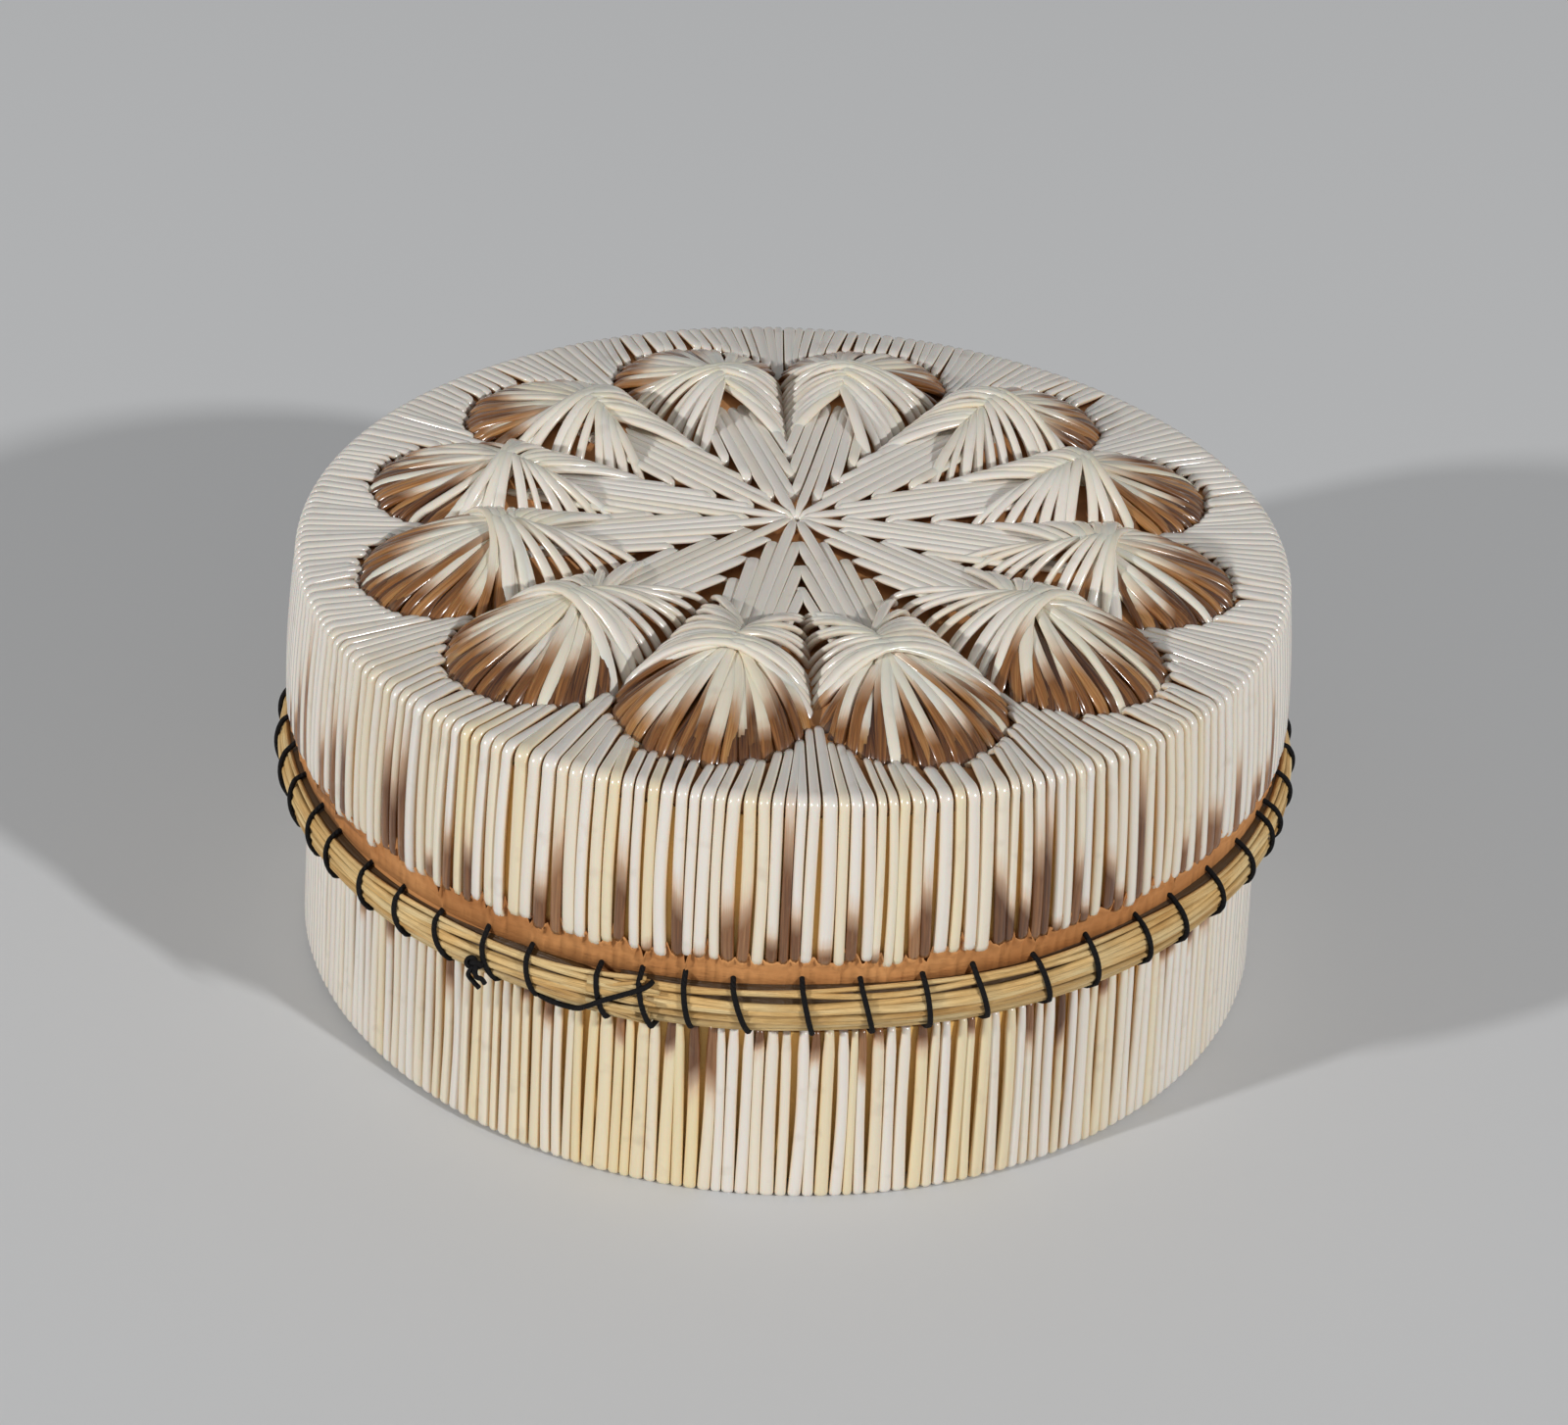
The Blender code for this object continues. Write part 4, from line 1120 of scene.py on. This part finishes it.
def add_frayed_end(strands, draw):
    """A split blade that stands away from the bundle where it is cut at the lap."""
    shares = np.linspace(0, 1, FRAYED_RINGS)
    rank = draw.uniform(-FRAYED_RANK_LIMIT, FRAYED_RANK_LIMIT)
    ranks = rank + (0.2 * rank + 0.3 * draw.uniform(-1, 1)) * shares ** 2
    angles = LAP_ANGLE - LAP_WIDTH * FRAYED_RUN_SHARE * (1 - shares)
    angles = angles + LAP_WIDTH * draw.uniform(*FRAYED_PAST_SHARES) * shares
    radii = rim_face(np.clip(ranks, -1, 1)) + LAP_LIFT * (
        FRAYED_LIFT_SHARE + draw.uniform(0, FRAYED_LIFT_SHARE) * shares ** 2)
    path = polar(radii, angles, rim_middle(angles) + rim_half(angles) * ranks)
    width = FRAYED_HALF_WIDTH * draw.uniform(*FRAYED_WIDTH_SHARES)
    strands.add(path, rim_up(ranks, angles), width * (1 - 0.5 * shares ** 3), width / 2,
                tone=draw.uniform(0, 1.5))


def wave_around(draw, angles, waves):
    """A wave round the box; how many there are, between two numbers, and where it starts are drawn."""
    return np.sin(angles * draw.uniform(*waves) + draw.uniform(0, 6))


def make_rim(material):
    """Grass blades side by side round the lid's edge over a core, with their ends lapped."""
    draw = np.random.RandomState(GRASS_SEED)
    strands = Strands(GRASS_SIDES, GRASS_SQUARENESS_SHARE)
    blades = [(2 * number / (GRASS_BLADES - 1) - 1, False) for number in range(GRASS_BLADES)]
    blades += [((2 * number / (GRASS_CORES - 1) - 1) * CORE_SHARE, True) for number in range(GRASS_CORES)]
    for rank, core in blades:
        start = LAP_ANGLE - LAP_WIDTH * draw.uniform(*GRASS_START_SHARES)
        end = LAP_ANGLE + TURN + LAP_WIDTH * draw.uniform(*GRASS_END_SHARES)
        angles = np.linspace(start, end, GRASS_RINGS)
        drift = np.zeros(GRASS_RINGS)
        for size, waves in zip(GRASS_DRIFT_SHARES, GRASS_DRIFT_WAVES):
            drift = drift + size * wave_around(draw, angles, waves)
        loose = smooth(LAP_ANGLE + TURN - LAP_LOOSE_ANGLE, LAP_ANGLE + TURN, angles)
        splay = loose ** 2 * draw.uniform(-GRASS_SPLAY_SHARE, GRASS_SPLAY_SHARE)
        ranks = np.clip(rank * BLADE_SHARE + drift + splay, -GRASS_RANK_LIMIT, GRASS_RANK_LIMIT)
        half_depth = about(draw, CORE_HALF_DEPTH if core else BLADE_HALF_DEPTH, GRASS_DEPTH_SPREAD_SHARE)
        weave = GRASS_WEAVE * wave_around(draw, angles, GRASS_WEAVE_WAVES)
        radii = rim_face(ranks) - half_depth + weave - CORE_INSET * core
        radii += LAP_LIFT * loose * (1 - LAP_LEAN_SHARE * rank)
        path = polar(radii, angles, rim_middle(angles) + rim_half(angles) * ranks)
        width = CORE_HALF_WIDTH if core else BLADE_HALF_WIDTH
        width *= 1 + GRASS_WIDTH_SPREAD_SHARE * draw.uniform(-1, 1)
        widths = width * (1 + GRASS_WIDTH_WAVE_SHARE * wave_around(draw, angles, GRASS_WIDTH_WAVES))
        # The core is marked dark: painted shade that shows between the blades
        strands.add(path, rim_up(ranks, angles), widths,
                    half_depth * end_taper(GRASS_RINGS, (1, 1), GRASS_TIP_SHARE),
                    tone=draw.uniform(-1, 1), brown=np.clip(-ranks, 0, 1), dark=float(core))
    for _ in range(FRAYED_ENDS):
        add_frayed_end(strands, draw)
    finish_piece(strands.piece("sweetgrass_bundle", material), "lid", "sweetgrass", "rim_sweetgrass")


def stitch_places():
    """The visible stitches' own places, and even ones round the rest of the rim."""
    seen = [radians(angle) for angle in STITCH_ANGLES_DEG]
    first, last = seen[0] + TURN, seen[-1]
    rest = STITCHES - len(seen)
    return seen + [last + (first - last) * (number + 1) / (rest + 1) for number in range(rest)]


def smooth_path(control, steps):
    """A Catmull-Rom curve through every control point."""
    control = np.asarray(control, float)
    padded = np.concatenate([[2 * control[0] - control[1]], control, [2 * control[-1] - control[-2]]])
    path = []
    for number in range(1, len(padded) - 2):
        a, b, c, d = padded[number - 1:number + 3]
        for share in np.arange(steps) / steps:
            path.append(0.5 * (2 * b + (c - a) * share + (2 * a - 5 * b + 4 * c - d) * share ** 2
                               + (3 * b - a - 3 * c + d) * share ** 3))
    path.append(padded[-2])
    return np.array(path)


def stitch_route(angle, step, draw):
    """A stitch from its hole, out over the bundle, in under the edge and up inside to the next hole."""
    half = THREAD_DIAMETER / 2
    inside = LID_LOW_RADIUS - BARK_THICKNESS - half
    z, rise = float(rim_middle(angle)), float(rim_half(angle))
    lean = about(draw, STITCH_LEAN, STITCH_LEAN_SPREAD_SHARE)
    hole = z + rise + HOLE_RISE + HOLE_JITTER * draw.standard_normal()
    route = [(angle - lean * STITCH_START_SHARES[0], LID_LOW_RADIUS - HOLE_DEPTH, hole),
             (angle - lean * STITCH_START_SHARES[1], LID_LOW_RADIUS + half * STITCH_SEAT_SHARES[0],
              hole - HOLE_LIP)]
    for rank in STITCH_RANKS:
        face = float(rim_face(rank) + lap_lift(angle, rank)) + half * STITCH_SEAT_SHARES[1]
        route.append((angle + lean * (1 - rank) / 2, face, z + rise * rank * STITCH_FULLNESS_SHARE))
    below = min(z - rise - half, LID_BARK_LOW.z - half)
    route += [(angle + lean * STITCH_END_SHARES[0], LID_LOW_RADIUS - UNDER_EDGE, below),
              (angle + lean * STITCH_END_SHARES[1], inside, below + INSIDE_STEPS[0]),
              (angle + lean + step * INSIDE_RUN_SHARES[0], inside, below + INSIDE_STEPS[1]),
              (angle + step * INSIDE_RUN_SHARES[1], inside, hole - HOLE_APPROACH),
              (angle + step * INSIDE_RUN_SHARES[2], inside + HOLE_APPROACH, hole)]
    return np.array([polar(radius, turn, height) for turn, radius, height in route])


def make_thread(material):
    """Stitches all round the bundle, and one that crosses its neighbour at the lap."""
    draw = np.random.RandomState(THREAD_SEED)
    strands = Strands(THREAD_SIDES)
    half = THREAD_DIAMETER / 2
    places = stitch_places()
    for angle, following in zip(places, places[1:] + places[:1]):
        step = (following - angle) % TURN
        path = smooth_path(stitch_route(angle, step, draw), 4)
        middle = polar(LID_LOW_RADIUS, angle + step * INSIDE_RUN_SHARES[0], float(rim_middle(angle)))
        strands.add(path, unit(path - middle), half, half, tone=draw.uniform(-1, 1))
    control = []
    for degrees, rank, lift in CROSSED_STITCH:
        angle = radians(degrees)
        face = float(rim_face(np.clip(rank, -1, 1)) + lap_lift(angle, rank)) + lift * THREAD_DIAMETER
        control.append(polar(face, angle, float(rim_middle(angle) + rim_half(angle) * rank)))
    path = smooth_path(control, 5)
    strands.add(path, unit(path * np.array([1, 1, 0])), half, half)
    finish_piece(strands.piece("sewing_thread", material), "lid", "thread", "rim_thread")


def make_knot(material):
    """The knot that starts and ends the thread, with its two cut ends."""
    draw = np.random.RandomState(THREAD_SEED + 1)
    strands = Strands(THREAD_SIDES)
    half = THREAD_DIAMETER / 2
    low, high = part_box("rim_knot")
    centre = np.array((low + high) / 2)
    out = np.array([cos(KNOT_ANGLE), sin(KNOT_ANGLE), 0])
    axes = np.array([[-out[1], out[0], 0], [0, 0, 1], out])
    turns = np.linspace(0, TURN, KNOT_POINTS)[:-1]
    loop = np.stack([np.sin(turns) + 2 * np.sin(2 * turns), np.cos(turns) - 2 * np.cos(2 * turns),
                     -np.sin(3 * turns)], axis=-1)
    path = centre + loop @ axes * KNOT_SIZE
    strands.add(path, np.tile(out, (len(path), 1)), half, half)
    for end in KNOT_ENDS_MM:
        path = smooth_path(centre + np.array(end) @ axes * MILLIMETRE, 6)
        thin = half * KNOT_END_SHARE
        strands.add(path, np.tile(out, (len(path), 1)), thin, thin, tone=draw.uniform(-1, 1))
    finish_piece(strands.piece("thread_knot", material), "lid", "thread", "rim_knot")


class Nodes:
    """Short calls for building a material."""

    def __init__(self, name):
        self.material = bpy.data.materials.new(name)
        self.material.use_nodes = True
        self.tree = self.material.node_tree
        self.shader = self.tree.nodes["Principled BSDF"]

    def put(self, socket, value):
        """Join a socket to another one, or set it; a colour is set as opaque."""
        if isinstance(value, bpy.types.NodeSocket):
            self.tree.links.new(value, socket)
        else:
            socket.default_value = (*value, 1) if socket.type == "RGBA" else value

    def node(self, kind, sockets, **settings):
        node = self.tree.nodes.new(kind)
        for name, value in settings.items():
            setattr(node, name, value)
        for key, value in sockets.items():
            self.put(node.inputs[key], value)
        return node

    def attribute(self, name):
        return self.node("ShaderNodeAttribute", {}, attribute_name=name).outputs["Fac"]

    def place(self):
        return self.node("ShaderNodeTexCoord", {}).outputs["Object"]

    def math(self, operation, first, second=0.0, clamp=False):
        return self.node("ShaderNodeMath", {0: first, 1: second}, operation=operation,
                         use_clamp=clamp).outputs[0]

    def times(self, first, second, clamp=False):
        return self.math("MULTIPLY", first, second, clamp)

    def plus(self, first, second):
        return self.math("ADD", first, second)

    def mix(self, share, first, second, blend="MIX"):
        return self.node("ShaderNodeMix", {"Factor": share, 6: first, 7: second}, data_type="RGBA",
                         blend_type=blend).outputs[2]

    def vector(self, x, y, z=0.0):
        return self.node("ShaderNodeCombineXYZ", {0: x, 1: y, 2: z}).outputs[0]

    def split(self, vector, axis):
        return self.node("ShaderNodeSeparateXYZ", {0: vector}).outputs[axis]

    def noise(self, vector, scale, detail=3.0, roughness=0.5, distortion=0.0):
        sockets = {"Vector": vector, "Scale": scale, "Detail": detail, "Roughness": roughness,
                   "Distortion": distortion}
        return self.node("ShaderNodeTexNoise", sockets).outputs["Fac"]

    def ramp(self, value, stops):
        """stops are places and colours or greys."""
        stops = list(stops)
        node = self.node("ShaderNodeValToRGB", {0: value})
        elements = node.color_ramp.elements
        while len(elements) < len(stops):
            elements.new(0.5)
        for element, (place, colour) in zip(elements, stops):
            element.position = place
            element.color = (*colour, 1) if isinstance(colour, tuple) else (colour, colour, colour, 1)
        return node.outputs[0]

    def marked(self, colour, value, stops, mark):
        """A colour with marks of another one, as strong as the stops say."""
        return self.mix(self.ramp(value, stops), colour, mark)

    def scaled(self, value, low, high):
        return self.node("ShaderNodeMapRange", {"Value": value, "To Min": low, "To Max": high}).outputs[0]

    def rising(self, value, low, high):
        """From 0 to 1 between two values, with soft ends."""
        return self.node("ShaderNodeMapRange", {"Value": value, "From Min": low, "From Max": high},
                         interpolation_type="SMOOTHSTEP").outputs[0]

    def bump(self, height, distance, strength=1.0):
        node = self.node("ShaderNodeBump", {"Height": height, "Distance": distance, "Strength": strength})
        self.put(self.shader.inputs["Normal"], node.outputs[0])

    def finish(self, colour, roughness, constants):
        for key, value in {"Base Color": colour, "Roughness": roughness, **constants}.items():
            self.put(self.shader.inputs[key], value)
        return self.material


def quill_material(name, tones, tips, dust_and_shade_share, glow_paint_share):
    """Glossy quill: cream or pale yellow, brown at its tip, with a glow painted on its upright edges and dust
    and painted shade on top.
    """
    nodes = Nodes(name)
    cream, yellow = tones
    along, across, tone, brown = (nodes.attribute(key) for key in ("along", "across", "tone", "brown"))
    lengthwise = nodes.vector(nodes.times(along, 60), nodes.times(across, 1.6), nodes.times(tone, 7))
    lines = nodes.noise(lengthwise, scale=2.2, detail=4, roughness=0.6)
    cloud = nodes.noise(nodes.place(), scale=260, detail=2)
    pale = nodes.mix(nodes.times(nodes.attribute("yellow"), 1, clamp=True), cream, yellow)
    pale = nodes.mix(nodes.scaled(tone, 0, 0.10), pale, QUILL_SHADE)
    slant = nodes.times(nodes.times(across, tone), 0.16)
    edge = nodes.plus(brown, nodes.scaled(lines, -0.14, 0.14))
    edge = nodes.plus(edge, nodes.times(slant, nodes.rising(brown, 0, 0.2)))
    tip = nodes.ramp(nodes.plus(nodes.times(tone, 0.22), lines), zip((0.15, 0.5, 0.85), tips))
    colour = nodes.marked(pale, edge, [(0.08, 0.0), (0.50, 1.0)], nodes.mix(0.7, cream, QUILL_TAN))
    colour = nodes.marked(colour, edge, [(0.36, 0.0), (0.78, 1.0)], tip)
    colour = nodes.mix(nodes.times(nodes.attribute("dark"), 0.8), colour, QUILL_POINT)
    colour = nodes.mix(nodes.scaled(lines, 0, 0.14), colour, QUILL_LINES, "MULTIPLY")
    colour = nodes.marked(colour, cloud, [(0.62, 0.0), (0.80, 0.30)], QUILL_STAINS)
    facing = nodes.split(nodes.node("ShaderNodeNewGeometry", {}).outputs["Normal"], "Z")
    upright = nodes.math("SUBTRACT", 1.0, nodes.rising(facing, 0.1, 0.5))
    # Painted glow: upright faces turn golden towards their edges, for light through the translucent quills;
    # fainter on the box's left and right
    painted_edge = nodes.times(nodes.math("POWER", nodes.math("ABSOLUTE", across), 5), upright)
    sideways = nodes.rising(nodes.math("ABSOLUTE", nodes.split(nodes.place(), "X")), *GLOW_PAINT_FADE)
    glow_paint = nodes.scaled(sideways, glow_paint_share, 0.3 * glow_paint_share)
    colour = nodes.mix(nodes.times(painted_edge, glow_paint), colour, QUILL_GLOW_PAINT, "MULTIPLY")
    # Upward faces greyed and darkened: partly dust, partly painted shade for tops that take less light
    dust_and_shade = nodes.times(nodes.rising(facing, 0.55, 0.98), dust_and_shade_share)
    colour = nodes.mix(dust_and_shade, colour, QUILL_DUST_AND_SHADE, "MULTIPLY")
    nodes.bump(lines, distance=0.00010, strength=0.5)
    return nodes.finish(colour, nodes.scaled(cloud, 0.30, 0.42), QUILL_SURFACE)


def bark_material(name, tones, dash_share, amber_glow_from=None):
    """Birch bark with its grain round the box and short dark lines, and an amber glow painted above a height.
    """
    nodes = Nodes(name)
    light, dark = tones
    place = nodes.place()
    spread = nodes.node("ShaderNodeMapping", {"Vector": place, "Scale": (1, 1, 6)}).outputs[0]
    grain = nodes.noise(spread, scale=170, detail=5, roughness=0.6, distortion=0.6)
    fine = nodes.noise(spread, scale=900, detail=2)
    dashes = nodes.noise(spread, scale=55, detail=1)
    colour = nodes.marked(dark, nodes.noise(place, scale=45), [(0.35, 0.0), (0.65, 1.0)], light)
    colour = nodes.mix(nodes.scaled(grain, 0, 0.55), colour, BARK_GRAIN, "MULTIPLY")
    colour = nodes.marked(colour, dashes, [(0.66, 0.0), (0.72, dash_share)], BARK_DASHES)
    colour = nodes.marked(colour, fine, [(0.60, 0.0), (0.75, 0.25)], BARK_SPECKS)
    if amber_glow_from is not None:
        # Painted glow above a height, where quills cover the bark, for light through the translucent quills
        amber_glow = nodes.rising(nodes.split(place, "Z"), amber_glow_from, amber_glow_from + LOWER_EDGE_TILT)
        colour = nodes.mix(nodes.times(amber_glow, AMBER_GLOW_PAINT_SHARE), colour, AMBER_GLOW_PAINT)
    nodes.bump(nodes.plus(grain, nodes.times(fine, 0.4)), distance=0.00018, strength=0.7)
    return nodes.finish(colour, nodes.scaled(grain, 0.55, 0.8), {"Specular IOR Level": 0.3})


def grass_material():
    """Dried sweetgrass: straw stalks with olive and brown lines along them, painted shade at the blades'
    edges and a core painted dark as shade between them.
    """
    nodes = Nodes("sweetgrass")
    along, across, tone = (nodes.attribute(key) for key in ("along", "across", "tone"))
    lengthwise = nodes.vector(nodes.times(along, 40), nodes.times(across, 2.4), nodes.times(tone, 9))
    lines = nodes.noise(lengthwise, scale=2.6, detail=5, roughness=0.65)
    patches = nodes.noise(nodes.vector(nodes.times(along, 60), tone), scale=1.4, detail=2)
    colour = nodes.ramp(nodes.plus(nodes.times(tone, 0.12), patches), zip((0.3, 0.5, 0.72), GRASS_TONES))
    colour = nodes.marked(colour, lines, [(0.52, 0.0), (0.70, 0.70)], GRASS_BROWN)
    colour = nodes.marked(colour, lines, [(0.26, 0.6), (0.40, 0.0)], GRASS_STRAW)
    colour = nodes.mix(nodes.times(nodes.attribute("brown"), 0.45, clamp=True), colour, GRASS_OLIVE)
    # Painted shade: each blade darkens towards its edges, for the creases between blades
    painted_edge = nodes.math("POWER", nodes.math("ABSOLUTE", across), 4)
    colour = nodes.mix(nodes.times(painted_edge, 0.7), colour, GRASS_EDGE_SHADE)
    # Painted shade: the core, seen only between the blades, is nearly black
    colour = nodes.mix(nodes.attribute("dark"), colour, GRASS_CORE)
    nodes.bump(lines, distance=0.00030, strength=0.9)
    return nodes.finish(colour, nodes.scaled(lines, 0.30, 0.5), {"Specular IOR Level": 0.5})


def thread_material():
    """Black cotton with two twisted plies and a dull nap."""
    nodes = Nodes("black_thread")
    slant = nodes.times(nodes.attribute("across"), 0.7)
    twist = nodes.plus(nodes.times(nodes.attribute("along"), 1300), slant)
    plies = nodes.node("ShaderNodeTexWave", {"Vector": nodes.vector(twist, 0.0), "Scale": 0.35},
                       bands_direction="X").outputs["Fac"]
    fuzz = nodes.noise(nodes.place(), scale=4200, detail=2)
    nodes.bump(nodes.plus(plies, fuzz), distance=0.00012, strength=0.8)
    return nodes.finish(nodes.mix(fuzz, *THREAD_TONES), 0.8, {"Specular IOR Level": 0.15})


def make_floor():
    nodes = Nodes("studio_floor")
    colour = nodes.mix(nodes.noise(nodes.place(), scale=2, detail=2), *FLOOR_TONES)
    mesh = bpy.data.meshes.new("studio_floor")
    half = FLOOR_SIZE / 2
    mesh.from_pydata([(-half, -half, 0), (half, -half, 0), (half, half, 0), (-half, half, 0)], [],
                     [(0, 1, 2, 3)])
    mesh.materials.append(nodes.finish(colour, 0.9, {"Specular IOR Level": 0.1}))
    add_object("studio_floor", mesh)


def make_world():
    """Even light from all round."""
    world = bpy.data.worlds.new("studio")
    bpy.context.scene.world = world
    world.use_nodes = True
    world.node_tree.nodes["Background"].inputs["Color"].default_value = (AMBIENT, AMBIENT, AMBIENT, 1)


def make_lamp(name, azimuth, elevation, power):
    azimuth += VIEW_TURN
    data = bpy.data.lights.new(name, "AREA")
    data.shape = "DISK"
    data.size = LAMP_SIZE
    data.energy = power
    item = add_object(name, data)
    towards = Vector((cos(azimuth) * cos(elevation), sin(azimuth) * cos(elevation), sin(elevation)))
    item.location = towards * LAMP_DISTANCE
    item.rotation_mode = "QUATERNION"
    item.rotation_quaternion = towards.to_track_quat("Z", "Y")


def make_camera():
    data = bpy.data.cameras.new("camera")
    data.lens = CAMERA_LENS
    data.sensor_width = SENSOR_WIDTH
    camera = add_object("camera", data)
    forward = Vector((sin(CAMERA_YAW) * cos(CAMERA_PITCH), cos(CAMERA_YAW) * cos(CAMERA_PITCH),
                      -sin(CAMERA_PITCH)))
    right = forward.cross(Vector((0, 0, 1))).normalized()
    up = right.cross(forward)
    rolled_right = right * cos(CAMERA_ROLL) + up * sin(CAMERA_ROLL)
    rolled_up = up * cos(CAMERA_ROLL) - right * sin(CAMERA_ROLL)
    aim = Matrix((rolled_right, rolled_up, -forward)).transposed().to_4x4()
    camera.matrix_world = Matrix.Rotation(VIEW_TURN, 4, "Z") @ Matrix.Translation(CAMERA_PLACE) @ aim
    bpy.context.scene.camera = camera


make_camera()
for lamp_name, lamp in LAMPS.items():
    make_lamp(lamp_name, *lamp)
make_world()
make_floor()

QUILL = quill_material("quill", WALL_QUILL, WALL_TIPS, dust_and_shade_share=0.7, glow_paint_share=0.75)
PETAL = quill_material("petal_quill", PETAL_QUILL, PETAL_TIPS, dust_and_shade_share=0.3, glow_paint_share=0.2)
TOP_BARK = bark_material("top_bark", TOP_TONES, dash_share=0.35)
BARK = bark_material("bark", BARK_TONES, dash_share=0.5)
LID_BARK = bark_material("lid_bark", BARK_TONES, dash_share=0.5, amber_glow_from=LID_QUILL_LOW.z)
BASE_BARK = bark_material("base_bark", BARK_TONES, dash_share=0.5, amber_glow_from=0)
LINING = bark_material("bark_lining", LINING_TONES, dash_share=0.8)
THREAD = thread_material()

make_bark_lip(make_lid_quills(QUILL), BARK)
make_base_quills(QUILL)
make_petals(PETAL)
make_top_bark(TOP_BARK)
make_walls(LID_BARK, BASE_BARK, LINING)
make_disc("lid_top_inside", LINING, "lid", "lining", "lid_top_lining")
make_disc("base_floor_inside", LINING, "base", "lining", "base_floor_lining")
make_disc("base_floor_sheet", BARK, "base", "bark", "base_floor_bark")
make_rim(grass_material())
make_thread(THREAD)
make_knot(THREAD)

bpy.context.scene.view_settings.view_transform = "Standard"
